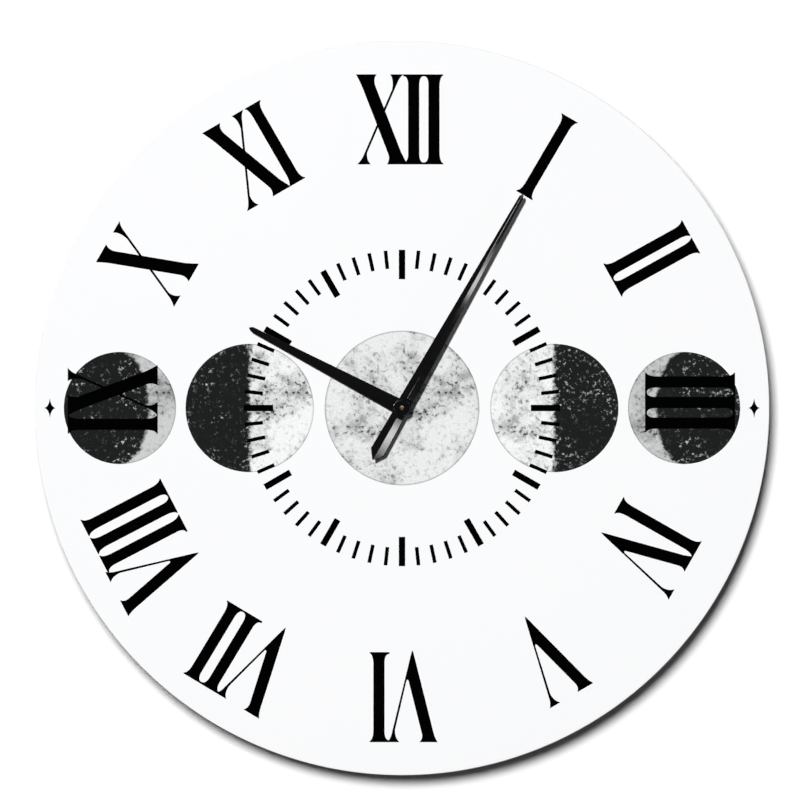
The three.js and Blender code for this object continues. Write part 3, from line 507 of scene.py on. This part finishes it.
def rounded(profile_corner, towards, radius, steps=5):
    """Points of a quarter-round at a corner of a profile, from one neighbour to the other."""
    corner = Vector(profile_corner)
    before = (Vector(towards[0]) - corner).normalized() * radius
    after = (Vector(towards[1]) - corner).normalized() * radius
    centre = corner + before + after
    points = []
    for step in range(steps + 1):
        turn = math.pi / 2 * step / steps
        points.append(tuple(centre - after * math.cos(turn) - before * math.sin(turn)))
    return points


def outline(*steps):
    """Points of a closed outline. A step of four numbers is a curve: control point, then end."""
    points = []
    for step in steps:
        if len(step) == 2:
            points.append(Vector(step))
            continue
        start = points[-1]
        control = Vector(step[:2])
        end = Vector(step[2:])
        for i in range(1, CURVE_STEPS + 1):
            t = i / CURVE_STEPS
            points.append(start * (1 - t) ** 2 + control * 2 * t * (1 - t) + end * t ** 2)
    return points


def printed(name, outlines, proud):
    """One closed, very thin piece on the dial's face, from outlines that may overlap."""
    flat = []
    loops = []
    for loop in outlines:
        area = sum(a.x * b.y - b.x * a.y for a, b in zip(loop, loop[1:] + loop[:1]))
        turned_loop = loop if area > 0 else loop[::-1]
        loops.append(list(range(len(flat), len(flat) + len(loop))))
        flat += turned_loop
    corners, _, pieces, _, _, sources = delaunay_2d_cdt(flat, [], loops, 1, 1e-5)
    faces = [face for face, source in zip(pieces, sources) if source]
    front = DIAL_FACE - proud
    back = DIAL_FACE + PRINT_SINK
    count = len(corners)
    points = [(c.x * MM, front, c.y * MM) for c in corners]
    points += [(c.x * MM, back, c.y * MM) for c in corners]
    edges = {(face[i], face[(i + 1) % len(face)]) for face in faces for i in range(len(face))}
    rim = [(a, b) for a, b in edges if (b, a) not in edges]
    solid = [tuple(face) for face in faces]
    solid += [tuple(i + count for i in reversed(face)) for face in faces]
    solid += [(b, a, a + count, b + count) for a, b in rim]
    return mesh_piece(name, points, solid)


def spindle_corners(node_name):
    """Distance from the spindle and y of each corner of a piece."""
    vertices = frame["nodes"][node_name].data.vertices
    return [(math.hypot(v.co.x, v.co.z), v.co.y) for v in vertices]


def bore_of(node_name):
    return min(r for r, y in spindle_corners(node_name))


# Dial

def dial():
    hole = bore_of("dial")
    front_corner = (DIAL_RADIUS, DIAL_FACE)
    back_corner = (DIAL_RADIUS, DIAL_BACK)
    front = rounded(front_corner, ((0, DIAL_FACE), back_corner), DIAL_EDGE)
    back = rounded(back_corner, (front_corner, (0, DIAL_BACK)), DIAL_EDGE)
    profile = [(hole, DIAL_FACE), *front, *back, (hole, DIAL_BACK)]
    piece = turned_piece("dial_disc", profile, DIAL_CORNERS)
    finish_piece(piece, dial_white(), "movement_body", "dial_white", "dial")
    piece.data.materials.append(dial_back())
    for face in piece.data.polygons:
        face.material_index = 1 if face.normal.y > 0.9 else 0


# Roman numerals. Letters are drawn upright in millimetres: x to the right, y up from the foot.

def wing(x, side, y, upward, reach):
    """Corner points of one serif: the stem's side, a hollow curve, and the blunt end of the serif. One
    that meets its neighbour's is thicker at its end and less deep."""
    joined = reach > SERIF_REACH
    edge = JOINED_EDGE if joined else SERIF_EDGE
    depth = SERIF_DEPTH * (0.85 if joined else 1)
    stem = x + side * STEM / 2
    end = stem + side * reach
    hollow = (stem + side * reach * 0.12, y + upward * edge * (1 if joined else 3))
    return (stem, y + upward * depth), hollow, (end, y + upward * edge), (end, y)


def bar(x, foot, top, height):
    """One upright stem. foot and top are how far the serifs reach to the left and right."""
    corners = [
        wing(x, 1, 0, 1, foot[1]), wing(x, 1, height, -1, top[1]),
        wing(x, -1, height, -1, top[0]), wing(x, -1, 0, 1, foot[0]),
    ]
    steps = []
    for i, (stem, hollow, edge, end) in enumerate(corners):
        if i % 2:
            steps += [stem, (*hollow, *edge), end]
        else:
            steps += [end, edge, (*hollow, *stem)]
    return [outline(*steps)]


def bars(first, count, foot_gaps=(), top_gaps=(), left=SERIF_REACH, pitch=BAR_PITCH,
         height=NUMERAL_HEIGHT):
    """Stems side by side, whose inner serifs meet half way, but for the gaps at numbered places."""
    meeting = (pitch - STEM) / 2
    loops = []
    for i in range(count):
        reaches = []
        for gaps in (foot_gaps, top_gaps):
            to_left = left if i == 0 else meeting - SERIF_GAP * (i - 1 in gaps)
            to_right = SERIF_REACH if i == count - 1 else meeting - SERIF_GAP * (i in gaps)
            reaches.append((to_left, to_right))
        loops += bar(first + i * pitch, *reaches, height)
    return loops


def letter_v(x):
    """V with its sharp foot at x: a thick left stroke and a hairline right one."""
    top = NUMERAL_HEIGHT
    return [outline(
        (x, -0.9), (x + 0.52, 0.7), (x + 8.35, 32.8), (x + 8.7, 35.0, x + 10.25, top),
        (x + 5.3, top), (x + 7.3, 35.0, x + 7.1, 31.6), (x + 2.5, 11.9),
        (x + 1.95, 10.6, x + 1.52, 11.9),
        (x - 3.9, 33.4), (x - 4.35, 35.4, x - 2.85, top), (x - 10.35, top),
        (x - 8.95, 34.9, x - 8.05, 30.6), (x - 0.53, 0.7),
    )]


def letter_x(x):
    """X whose thick stroke starts at x on the top line and runs down to the right."""
    top = NUMERAL_HEIGHT
    thick = outline(
        (x - 0.15, top), (x + 1.0, 34.8, x + 2.5, 31.2), (x + 12.6, 4.2),
        (x + 13.3, 1.9, x + 12.0, 0.0), (x + 20.4, 0.0), (x + 19.2, 2.1, x + 17.85, 4.9),
        (x + 8.1, 31.0), (x + 6.5, 34.6, x + 8.3, top),
    )
    thin = outline(
        (x + 13.8, top), (x + 15.4, 34.6, x + 14.5, 30.5), (x + 3.0, 4.8),
        (x + 1.8, 1.8, x - 0.1, 0.0), (x + 5.4, 0.0), (x + 3.5, 1.9, x + 4.0, 4.9),
        (x + 16.8, 33.5), (x + 17.6, 35.5, x + 19.3, top),
    )
    return [thick, thin]


def set_in(loops, lean=0.0, rise=0.0):
    """Letters that stand a little higher or lean over beside their neighbours."""
    moved = []
    for loop in loops:
        moved.append([Vector((point.x + lean * point.y, point.y + rise)) for point in loop])
    return moved


def numerals():
    """Name, clock angle, height of the foot above the centre, and letters of each hour."""
    foot = NUMERAL_FOOT
    short = NUMERAL_HEIGHT - 2
    seven = set_in(letter_v(-5.47), 0.014)
    seven += set_in(bars(8.39, 2, left=2.2, pitch=8.56, height=short), rise=2)
    eight = set_in(letter_v(-14.02), 0.012, 0.8)
    eight += bars(-0.15, 3, (0,), (0, 1), left=1.8, pitch=8.2)
    twelve = set_in(letter_x(-18.13), -0.0145)
    twelve += bars(4.78, 2, left=2.0, pitch=8.27)
    return [
        ("numeral_01", 30.4, foot + 0.5, bars(-0.86, 1)),
        ("numeral_02", 61.0, foot + 0.85, bars(-7.88, 2, top_gaps=(0,), pitch=7.8)),
        ("numeral_03", 90.0, foot - 0.35, bars(-10.64, 3)),
        ("numeral_04", 119.65, foot - 3.0, bars(-9.37, 1) + letter_v(3.97)),
        ("numeral_05", 149.5, foot, letter_v(0)),
        ("numeral_06", 180.0, foot + 0.1, letter_v(-4.25) + bars(9.42, 1, left=2.0)),
        ("numeral_07", 211.0, foot + 2.5, seven),
        ("numeral_08", 242.5, foot + 1.25, eight),
        ("numeral_09", 270.0, foot + 0.15, bars(-6.66, 1) + letter_x(-2.83)),
        ("numeral_10", 300.0, foot + 1.7, letter_x(-10.8)),
        ("numeral_11", 330.0, foot + 1.6, letter_x(-14.5) + bars(8.95, 1, left=1.2)),
        ("numeral_12", 0.0, foot - 0.1, twelve),
    ]


def on_dial(loop, angle, foot):
    """Turns an upright outline to its clock angle, with its foot that far from the centre."""
    turn = math.radians(angle)
    up = Vector((math.sin(turn), math.cos(turn)))
    right = Vector((math.cos(turn), -math.sin(turn)))
    return [right * point.x + up * (foot + point.y) for point in loop]


def print_numerals(material):
    for name, angle, foot, loops in numerals():
        piece = printed(name, [on_dial(loop, angle, foot) for loop in loops], INK_PROUD)
        finish_piece(piece, material, "movement_body", "case_black")


def print_track(material):
    loops = []
    for minute in range(60):
        start, width = HOUR_TICK if minute % 5 == 0 else MINUTE_TICK
        half = width / 2
        tick = outline((-half, 0), (half, 0), (half, TRACK_OUTER - start), (-half, TRACK_OUTER - start))
        loops.append(on_dial(tick, minute * 6, start))
    piece = printed("minute_track", loops, INK_PROUD)
    finish_piece(piece, material, "movement_body", "case_black")


# Moon phases in a row across the dial, with a small star at each end, in millimetres
# Name, place of the middle to the right of the spindle, radius, terminator, lit side and shade
MOONS = [
    ("moon_waxing_crescent", -115.2, 22.9, 0.5, 1, 0.35),
    ("moon_first_quarter", -62.2, 26.2, 0.0, 1, 0.0),
    ("moon_full", 0.0, 31.6, -1.3, 1, 0.1),
    ("moon_last_quarter", 62.2, 26.2, 0.0, -1, 0.0),
    ("moon_waning_crescent", 115.2, 22.9, 0.5, -1, 0.35),
]
STAR_PLACES = (-143.8, 143.8)
STAR_REACH = 2.4


def print_moons():
    for name, x, radius, terminator, side, shade in MOONS:
        turns = [2 * math.pi * i / DISC_CORNERS for i in range(DISC_CORNERS)]
        loop = [Vector((radius * math.cos(turn), radius * math.sin(turn))) for turn in turns]
        piece = printed(name, [loop], MOON_PROUD)
        piece.location.x = x * MM
        material = moon_print(name + "_print", radius * MM, terminator, side, shade)
        finish_piece(piece, material, "movement_body", "dial_white")


def print_stars(material):
    """Slim stars of four points, taller than wide."""
    loops = []
    reach = STAR_REACH
    height = reach * 1.7
    waist = reach * 0.16
    for x in STAR_PLACES:
        loops.append(outline(
            (x, height), (x + waist, waist, x + reach, 0), (x + waist, -waist, x, -height),
            (x - waist, -waist, x - reach, 0), (x - waist, waist, x, height),
        ))
    piece = printed("dial_stars", loops, INK_PROUD)
    finish_piece(piece, material, "movement_body", "case_black")


# Hands

def fold_section(half, share, lift, along, base):
    """Corners of one section of folded sheet, over the fold from left to right and back beneath. share
    is how much of the fold there is, and lift is how far the edges stand off."""
    slope = math.tan(FOLD) * share
    edge = min(HAND_EDGE, half / 4)
    crease = min(CREASE_RADIUS, half / 4)
    guard = crease * 1.5

    def height(x):
        return (half - x) * slope + SHEET

    side = [(half, SHEET - edge), (half - edge, height(half - edge)), (guard, height(guard))]
    crest = []
    for i in range(-CREASE_STEPS, CREASE_STEPS + 1):
        across = i / CREASE_STEPS
        rise = (1 - across ** 2) * crease * slope / 2
        crest.append((crease * across, height(crease) + rise))
    over = [(-x, y) for x, y in side] + crest + side[::-1]
    under = [(half, 0.0), (0.0, half * slope), (-half, 0.0)]
    return [Vector((x, base - lift - y, along)) for x, y in over + under]


def folded_blade(name, stations, base):
    """A closed skin through sections at (distance along, half width, share of the fold, lift)."""
    corners = []
    for along, half, share, lift in stations:
        corners += fold_section(half, share, lift, along, base)
    count = len(corners) // len(stations)
    faces = [tuple(range(count))]
    for s in range(len(stations) - 1):
        for i in range(count):
            j = (i + 1) % count
            a = s * count
            b = a + count
            faces.append((a + i, b + i, b + j, a + j))
    last = (len(stations) - 1) * count
    faces.append(tuple(last + i for i in reversed(range(count))))
    return mesh_piece(name, corners, faces)


def root_stations(half_at):
    """The flat root under the nut, and the short ramp where the fold begins outside the hub."""
    start = HUB_RADIUS * 0.5
    ramp_start = HUB_RADIUS * 0.96
    ramp_end = HUB_RADIUS + 0.8 * MM
    return [
        (start, half_at(start), 0.0, 0.0),
        (ramp_start, half_at(ramp_start), 0.0, 0.0),
        (ramp_end, half_at(ramp_end), 1.0, 0.0),
    ]


def blade_stations(length, root, tip):
    """Stations of a tapering blade up to its blunt point."""
    tip_half = tip / 2
    point = tip * POINT_LENGTH_SHARE
    body_end = length - point

    def half_at(s):
        return (root + (tip - root) * s / body_end) / 2

    stations = root_stations(half_at) + [(body_end, tip_half, 1.0, 0.0)]
    for i in range(1, TIP_STEPS + 1):
        share = i / TIP_STEPS
        half = tip_half * (1 - 0.2 * share - 0.7 * share ** 2)
        stations.append((body_end + point * share, half, 1.0, (tip_half - half) * math.tan(FOLD)))
    return stations


def tail_stations(length, root, end, point_length, point_width):
    """Stations of the tail, from its point back to the hub. Its ridge stays level along the point."""
    shoulder = length - point_length

    def half_at(s):
        return (root + (end - root) * s / shoulder) / 2

    stations = root_stations(half_at)
    stations.append((shoulder, end / 2, 1.0, 0.0))
    stations.append((length, point_width / 2, 1.0, (end - point_width) / 2 * math.tan(FOLD)))
    return [(-s, half, share, lift) for s, half, share, lift in reversed(stations)]


def hub_disc(name, base, bore):
    top = base - SHEET
    rim = rounded((HUB_RADIUS, top), ((0, top), (HUB_RADIUS, base)), HUB_EDGE, HUB_EDGE_STEPS)
    return turned_piece(name, [(bore, top), *rim, (HUB_RADIUS, base), (bore, base)], HUB_CORNERS)


def joined_hand(name, pieces, angle, node_name, body, material):
    """Joins a hand's blades and hub into one closed piece and turns it to its time."""
    hand = pieces[0]
    for other in pieces[1:]:
        tool = hand.modifiers.new("join", "BOOLEAN")
        tool.operation = "UNION"
        tool.solver = "EXACT"
        tool.object = other
        baked(hand)
        bpy.data.objects.remove(other)
    hand.name = name
    cosine = math.cos(angle)
    sine = math.sin(angle)
    for vertex in hand.data.vertices:
        x, y, z = vertex.co
        vertex.co = (x * cosine + z * sine, y, -x * sine + z * cosine)
    hand.data.shade_smooth()
    hand.data.set_sharp_from_angle(angle=math.radians(HAND_SHARP_ANGLE))
    finish_piece(hand, material, body, "hand_black", node_name)
    return hand


def hour_hand(material):
    base = HOUR_HAND_BACK
    blade = folded_blade("hour_blade", blade_stations(*HOUR_BLADE), base)
    hub = hub_disc("hour_hub", base, bore_of("hour_hand"))
    joined_hand("hour_hand_black", [hub, blade], HOUR_ANGLE, "hour_hand", "hour_works", material)


def minute_hand(material):
    base = MINUTE_HAND_BACK
    blade = folded_blade("minute_blade", blade_stations(*MINUTE_BLADE), base)
    tail = folded_blade("minute_tail", tail_stations(*MINUTE_TAIL), base)
    hub = hub_disc("minute_hub", base, bore_of("minute_hand"))
    return joined_hand("minute_hand_black", [hub, blade, tail], MINUTE_ANGLE, "minute_hand",
                       "minute_works", material)


def hand_nut():
    """The round nut, with a softly rounded edge and a hole for the arbor's end."""
    corners = spindle_corners("hand_nut")
    low = NUT_HIGH.y
    top = NUT_LOW.y
    hole = min(r for r, y in corners)
    bore = min(r for r, y in corners if y > low - 0.1 * MM)
    face = max(y for r, y in corners if r < hole * 1.01)
    profile = rounded((hole, top), ((hole, face), (NUT_RADIUS, top)), 0.08 * MM, 3)
    profile += rounded((NUT_RADIUS, top), ((hole, top), (NUT_RADIUS, low)), NUT_EDGE, 10)
    profile += [(NUT_RADIUS, low), (bore, low), (bore, face), (hole, face)]
    piece = turned_piece("hand_nut_black", profile, HUB_CORNERS)
    finish_piece(piece, nut_black(), "minute_works", "hand_black", "hand_nut")


def seconds_arbor():
    """The arbor whose domed brass end shows in the nut."""
    low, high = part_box("seconds_arbor")
    corners = spindle_corners("seconds_arbor")
    pivot = min(r for r, y in corners if r > 0.1 * MM)
    shoulder = min(y for r, y in corners if abs(r - pivot) < 0.05 * MM)
    steps = 8
    profile = [(0, high.y), (pivot, high.y), (pivot, shoulder), (high.x, shoulder)]
    for step in range(steps + 1):
        turn = math.pi / 2 * step / steps
        profile.append((high.x * math.cos(turn), low.y + ARBOR_DOME * (1 - math.sin(turn))))
    piece = turned_piece("seconds_arbor_brass", profile, ARBOR_CORNERS)
    material = turned_metal("arbor_brass", (0.5, 0.38, 0.23), (0.62, 0.5, 0.34), 0.35, 0.45,
                            Coat_Weight=1.0, Coat_Roughness=0.25)
    return finish_piece(piece, material, "seconds_works", "brass", "seconds_arbor")


# Pieces of the movement. Those that show from behind get rounded edges, and the others stay as they are.
# Node, body, material slot and edge radius in millimetres
SHOWN_BEHIND = [
    ("front_case", "movement_body", "case_black", 0.25),
    ("hanger_clip", "movement_body", "case_black", 0.3),
    ("mounting_pad", "movement_body", "foam_black", 0.15),
    ("setting_knob", "setting_works", "moulded_white", 0.15),
    ("battery_cell", "battery", "cell_jacket", 0.15),
    ("contact_plus", "movement_body", "steel", 0.06),
    ("contact_minus", "movement_body", "steel", 0.06),
]


def softened(node_name, body, slot_name, radius, material):
    """A copy of a piece in its place, with rounded edges and flat faces that stay flat to the eye."""
    shape = bmesh.new()
    shape.from_mesh(frame["nodes"][node_name].data)
    bmesh.ops.remove_doubles(shape, verts=shape.verts, dist=0.001 * MM)
    weights = shape.edges.layers.float.new("bevel_weight_edge")
    for edge in shape.edges:
        rounds = edge.is_convex and edge.calc_face_angle(0) > math.radians(SHARP_ANGLE)
        edge[weights] = 1.0 if rounds else 0.0
    mesh = bpy.data.meshes.new(node_name + "_soft")
    shape.to_mesh(mesh)
    shape.free()
    piece = bpy.data.objects.new(node_name + "_soft", mesh)
    bpy.context.scene.collection.objects.link(piece)
    edges = piece.modifiers.new("edges", "BEVEL")
    edges.limit_method = "WEIGHT"
    edges.width = radius * MM
    edges.segments = 3
    edges.use_clamp_overlap = False
    baked(piece)
    piece.data.shade_smooth()
    piece.data.set_sharp_from_angle(angle=math.radians(SHARP_ANGLE))
    even = piece.modifiers.new("even", "WEIGHTED_NORMAL")
    even.keep_sharp = True
    even.weight = 100
    baked(piece)
    finish_piece(piece, material, body, slot_name, node_name)


def dress_movement():
    """Gives every piece its material, and those that show from behind their rounded edges."""
    case_black = moulded("case_black", (0.016, 0.016, 0.0175), (0.024, 0.024, 0.026), 0.42, 0.62)
    white = moulded("moulded_white", (0.62, 0.61, 0.57), (0.7, 0.69, 0.65), 0.34, 0.5, 1800, 0.015)
    amber = moulded("moulded_amber", (0.5, 0.36, 0.14), (0.58, 0.43, 0.19), 0.3, 0.45, 1800, 0.015)
    resin = moulded("resin_black", (0.006, 0.006, 0.007), (0.012, 0.012, 0.013), 0.12, 0.22, 300,
                    0.01)
    brass = turned_metal("brass", (0.6, 0.38, 0.13), (0.74, 0.5, 0.2), 0.2, 0.32)
    steel = stamped_steel("steel", (0.46, 0.47, 0.48), (0.6, 0.61, 0.62), 0.25, 0.4)
    finishes = {
        "dial_white": dial_white(), "hand_black": hand_black(), "case_black": case_black,
        "foam_black": foam(), "moulded_white": white, "moulded_amber": amber, "brass": brass,
        "steel": steel, "magnet_grey": sintered(), "copper": copper_wire(),
        "board_green": solder_mask(), "resin_black": resin, "cell_jacket": cell_jacket(),
    }
    for row in frame["record"]["subparts"]:
        shown = frame["nodes"][row["node"]]
        shown.data.materials.clear()
        shown.data.materials.append(finishes[row["material_slot"]])
    softened("back_cover", "movement_body", "case_black", 0.2, cover_black())
    for node_name, body, slot_name, radius in SHOWN_BEHIND:
        softened(node_name, body, slot_name, radius, finishes[slot_name])
    return finishes


# Stage: camera, wall, floor and lights
WALL_BEHIND = 0.5 * MM
WALL_REACH = 2
FLOOR_REACH = 3
FLOOR_LEVEL = -1.6
CLOCK_SUN_DIRECTION = (3.95, 20, -4.5)
WALL_LAMP_DIRECTION = (2.07, 20, -3.59)
WALL_LAMP_DISTANCE = 2.1
WALL_LAMP_WIDTH = 0.5
HAND_LIGHT_DISTANCE = 0.4

# Strips of light for the minute hand: name, start and end along the hand in millimetres, share of the
# fold, width in millimetres and strength
HAND_LIGHTS = [
    ("blade_glow", 56, 68, 1.0, 30, 13),
    ("blade_fade", 68, 76, 1.0, 30, 4),
    ("tail_glow", -14.3, -6.5, 1.0, 30, 16),
    ("tail_start", -6.5, -3, 1.0, 30, 8),
    ("tail_fade", -20, -14.3, 1.0, 30, 6.5),
    ("crease_glow", 70, 98, 0.1, 100, 16),
    ("crease_start_glow", 4, 12, -0.38, 100, 10),
]


def plane(name, corners):
    piece = mesh_piece(name, corners, [(0, 1, 2, 3)])
    return piece


def seen_directly(tree):
    """One where the camera, a reflection or a view through glass looks, and nought elsewhere."""
    path = node(tree, "ShaderNodeLightPath")
    seen = maths(tree, "MAXIMUM", path.outputs["Is Camera Ray"], path.outputs["Is Glossy Ray"])
    return maths(tree, "MAXIMUM", seen, path.outputs["Is Transmission Ray"])


def wall_material():
    """White where the camera or a reflection looks, and grey for light that bounces, so that the
    shadow under the dial stays dark. Its back can be seen through, so the clock shows from behind."""
    material, tree, shader = new_material("wall_white", Roughness=1.0, Specular_IOR_Level=0.0)
    paint(tree, shader, mixed(tree, seen_directly(tree), (0.11, 0.11, 0.11), (0.98, 0.98, 0.98)))
    clear = node(tree, "ShaderNodeBsdfTransparent")
    behind = node(tree, "ShaderNodeNewGeometry").outputs["Backfacing"]
    layers = {0: behind, 1: shader.outputs[0], 2: clear.outputs[0]}
    choice = node(tree, "ShaderNodeMixShader", layers)
    tree.links.new(choice.outputs[0], tree.nodes["Material Output"].inputs["Surface"])
    return material


def wall():
    y = WALL_BEHIND
    reach = WALL_REACH
    low = FLOOR_LEVEL
    piece = plane("wall", [(-reach, y, low), (reach, y, low), (reach, y, -low), (-reach, y, -low)])
    piece.data.materials.append(wall_material())
    piece.visible_shadow = False
    return piece


def floor():
    """Pale where the camera looks. It throws no light on the clock and the wall."""
    material, tree, shader = new_material("floor_pale", Roughness=0.9)
    shader.inputs["Base Color"].default_value = (0.8, 0.8, 0.8, 1)
    shader.inputs["Emission Color"].default_value = (1, 1, 1, 1)
    glow = maths(tree, "MULTIPLY", seen_directly(tree), 0.5)
    tree.links.new(glow, shader.inputs["Emission Strength"])
    reach = FLOOR_REACH
    z = FLOOR_LEVEL
    corners = [(-reach, -reach, z), (reach, -reach, z), (reach, reach, z), (-reach, reach, z)]
    piece = plane("floor", corners)
    piece.data.materials.append(material)
    piece.visible_diffuse = False


def dark_tent():
    """A black tent round the clock's front, which only reflections see, as in a studio."""
    material, tree, _ = new_material("tent_black")
    black = node(tree, "ShaderNodeEmission", {"Color": (0, 0, 0, 1), "Strength": 0})
    tree.links.new(black.outputs[0], tree.nodes["Material Output"].inputs["Surface"])
    reach = 1.5
    front = -1.6
    rear = -0.05
    square = ((-reach, -reach), (-reach, reach), (reach, reach), (reach, -reach))
    corners = [(x, y, z) for y in (front, rear) for x, z in square]
    faces = [(0, 1, 2, 3), (0, 4, 5, 1), (1, 5, 6, 2), (2, 6, 7, 3), (3, 7, 4, 0)]
    piece = mesh_piece("tent", corners, faces)
    piece.data.materials.append(material)
    piece.visible_camera = False
    piece.visible_diffuse = False
    piece.visible_shadow = False
    piece.visible_transmission = False


def limited(light_object, piece, state):
    """Lets a light shine on one piece alone, or on all but that piece."""
    group = bpy.data.collections.new(light_object.name + "_piece")
    group.objects.link(piece)
    group.collection_objects[0].light_linking.link_state = state
    light_object.light_linking.receiver_collection = group


def aimed(light_object, target):
    direction = Vector(target) - light_object.location
    light_object.rotation_mode = "QUATERNION"
    light_object.rotation_quaternion = direction.to_track_quat("-Z", "Y")


def sun(name, angle, energy, direction):
    light = bpy.data.lights.new(name, "SUN")
    light.energy = energy
    light.angle = math.radians(angle)
    holder = bpy.data.objects.new(name, light)
    bpy.context.scene.collection.objects.link(holder)
    aimed(holder, direction)
    holder.visible_glossy = False
    return holder


def soft_box(name, location, target, size, strength, glossy_only=True):
    """An area light. Its strength is the radiance of its face."""
    light = bpy.data.lights.new(name, "AREA")
    light.shape = "RECTANGLE"
    light.size, light.size_y = size
    light.energy = strength * math.pi * size[0] * size[1]
    holder = bpy.data.objects.new(name, light)
    bpy.context.scene.collection.objects.link(holder)
    holder.location = location
    aimed(holder, target)
    holder.visible_camera = False
    if glossy_only:
        holder.visible_diffuse = False
        holder.visible_transmission = False
    return holder


def even_lamp(name, distance, direction, width, energy):
    """A round lamp whose light doesn't weaken with distance, so that the wall is evenly white. Its
    energy counts like a sun's."""
    location = Vector(direction).normalized() * -distance
    holder = soft_box(name, location, (0, 0, 0), (width, width), 1.0, glossy_only=False)
    holder.visible_glossy = False
    light = holder.data
    light.shape = "DISK"
    light.energy = energy * math.pi
    light.use_nodes = True
    tree = light.node_tree
    even = node(tree, "ShaderNodeLightFalloff", {"Strength": 1.0})
    tree.links.new(even.outputs["Constant"], tree.nodes["Emission"].inputs["Strength"])
    return holder


def hand_light(name, start, end, facet, width, strength):
    """A strip whose mirror image the camera sees on the minute hand, from start to end along it.
    facet is the surface's share of the fold: 1 on the right facet, 0 on the crease."""
    along = Vector((math.sin(MINUTE_ANGLE), 0, math.cos(MINUTE_ANGLE)))
    right = Vector((math.cos(MINUTE_ANGLE), 0, -math.sin(MINUTE_ANGLE)))
    spread_out = 1 + HAND_LIGHT_DISTANCE / CAMERA_DISTANCE
    lean = math.tan(2 * FOLD * facet) * HAND_LIGHT_DISTANCE
    middle = along * (start + end) / 2 * MM * spread_out + right * lean
    middle.y = DIAL_FACE - HAND_LIGHT_DISTANCE
    size = (width * MM, (end - start) * MM * spread_out)
    holder = soft_box(name, middle, middle + Vector((0, 1, 0)), size, strength)
    holder.rotation_mode = "XYZ"
    holder.rotation_euler = (math.pi / 2, MINUTE_ANGLE, 0)
    return holder


def back_light(name, location, size, strength):
    """Lights the back for views from behind. It adds nothing by way of bounces, so the wall's
    shadow stays as dark in the front view."""
    holder = soft_box(name, location, (0, 0, 0), size, 1.0, glossy_only=False)
    light = holder.data
    light.use_nodes = True
    tree = light.node_tree
    depth = node(tree, "ShaderNodeLightPath").outputs["Ray Depth"]
    first = maths(tree, "LESS_THAN", depth, 1.5)
    emission = tree.nodes["Emission"]
    tree.links.new(maths(tree, "MULTIPLY", first, strength), emission.inputs["Strength"])
    return holder


def world():
    """White where the camera or a reflection looks, and a low even fill for the rest."""
    made = bpy.data.worlds.new("studio")
    bpy.context.scene.world = made
    made.use_nodes = True
    tree = made.node_tree
    background = tree.nodes["Background"]
    background.inputs["Color"].default_value = (1, 1, 1, 1)
    strengths = {"Value": seen_directly(tree), "To Min": 0.05, "To Max": 1.0}
    fill = node(tree, "ShaderNodeMapRange", strengths)
    tree.links.new(fill.outputs["Result"], background.inputs["Strength"])


def camera():
    data = bpy.data.cameras.new("camera")
    data.lens = LENS
    data.sensor_width = SENSOR
    data.clip_start = 0.01
    holder = bpy.data.objects.new("camera", data)
    bpy.context.scene.collection.objects.link(holder)
    holder.location = (CAMERA_SIDE, DIAL_FACE - CAMERA_DISTANCE, CAMERA_UP)
    holder.rotation_euler = (math.pi / 2, 0, 0)
    bpy.context.scene.camera = holder


def spindle_lights(minute, arbor):
    """The spark on the edge of the minute hand's hub, and a cool and a warm glow on the arbor's end."""
    middle = (0, NUT_LOW.y, 0)
    spark = soft_box("hub_sparkle", (-0.35, DIAL_FACE - 0.33, 0.165), middle, (0.1, 0.1), 75)
    limited(spark, minute, "INCLUDE")
    cool = soft_box("arbor_glow", (-0.03, DIAL_FACE - 0.3, 0.35), middle, (0.7, 0.4), 1.6)
    cool.data.color = (0.85, 0.97, 1.2)
    limited(cool, arbor, "INCLUDE")
    warm = soft_box("arbor_warm", (0, DIAL_FACE - 0.3, -0.2), middle, (0.5, 0.4), 0.3)
    warm.data.color = (1, 0.6, 0.3)
    limited(warm, arbor, "INCLUDE")


def side_fill(wall_piece):
    """Soft light from the lower right, for all but the wall."""
    place_of_light = (2.2, DIAL_FACE - 1.6, -1.6)
    fill = soft_box("side_fill", place_of_light, (0, NUT_LOW.y, 0), (1.5, 1.5), 1.0, glossy_only=False)
    fill.visible_glossy = False
    limited(fill, wall_piece, "EXCLUDE")


def build_stage(minute, arbor):
    """A sun lights the clock, and a softer lamp the wall. Each small light shines on one piece alone."""
    camera()
    wall_piece = wall()
    floor()
    dark_tent()
    limited(sun("sun_clock", 4, 3.22, CLOCK_SUN_DIRECTION), wall_piece, "EXCLUDE")
    lamp = even_lamp("wall_lamp", WALL_LAMP_DISTANCE, WALL_LAMP_DIRECTION, WALL_LAMP_WIDTH, 3.3)
    limited(lamp, wall_piece, "INCLUDE")
    for name, start, end, facet, width, strength in HAND_LIGHTS:
        limited(hand_light(name, start, end, facet, width, strength), minute, "INCLUDE")
    spindle_lights(minute, arbor)
    side_fill(wall_piece)
    back_light("back_left", (-1.2, 1.3, 0.9), (1.2, 1.2), 8)
    back_light("back_right", (1.3, 1.1, 0.3), (0.9, 0.9), 5)
    world()
    bpy.context.scene.view_settings.view_transform = "Standard"


def build_clock():
    finishes = dress_movement()
    black = ink()
    dial()
    print_moons()
    print_stars(black)
    print_track(black)
    print_numerals(black)
    hour_hand(finishes["hand_black"])
    minute = minute_hand(finishes["hand_black"])
    hand_nut()
    arbor = seconds_arbor()
    return minute, arbor


minute_piece, arbor_piece = build_clock()
build_stage(minute_piece, arbor_piece)
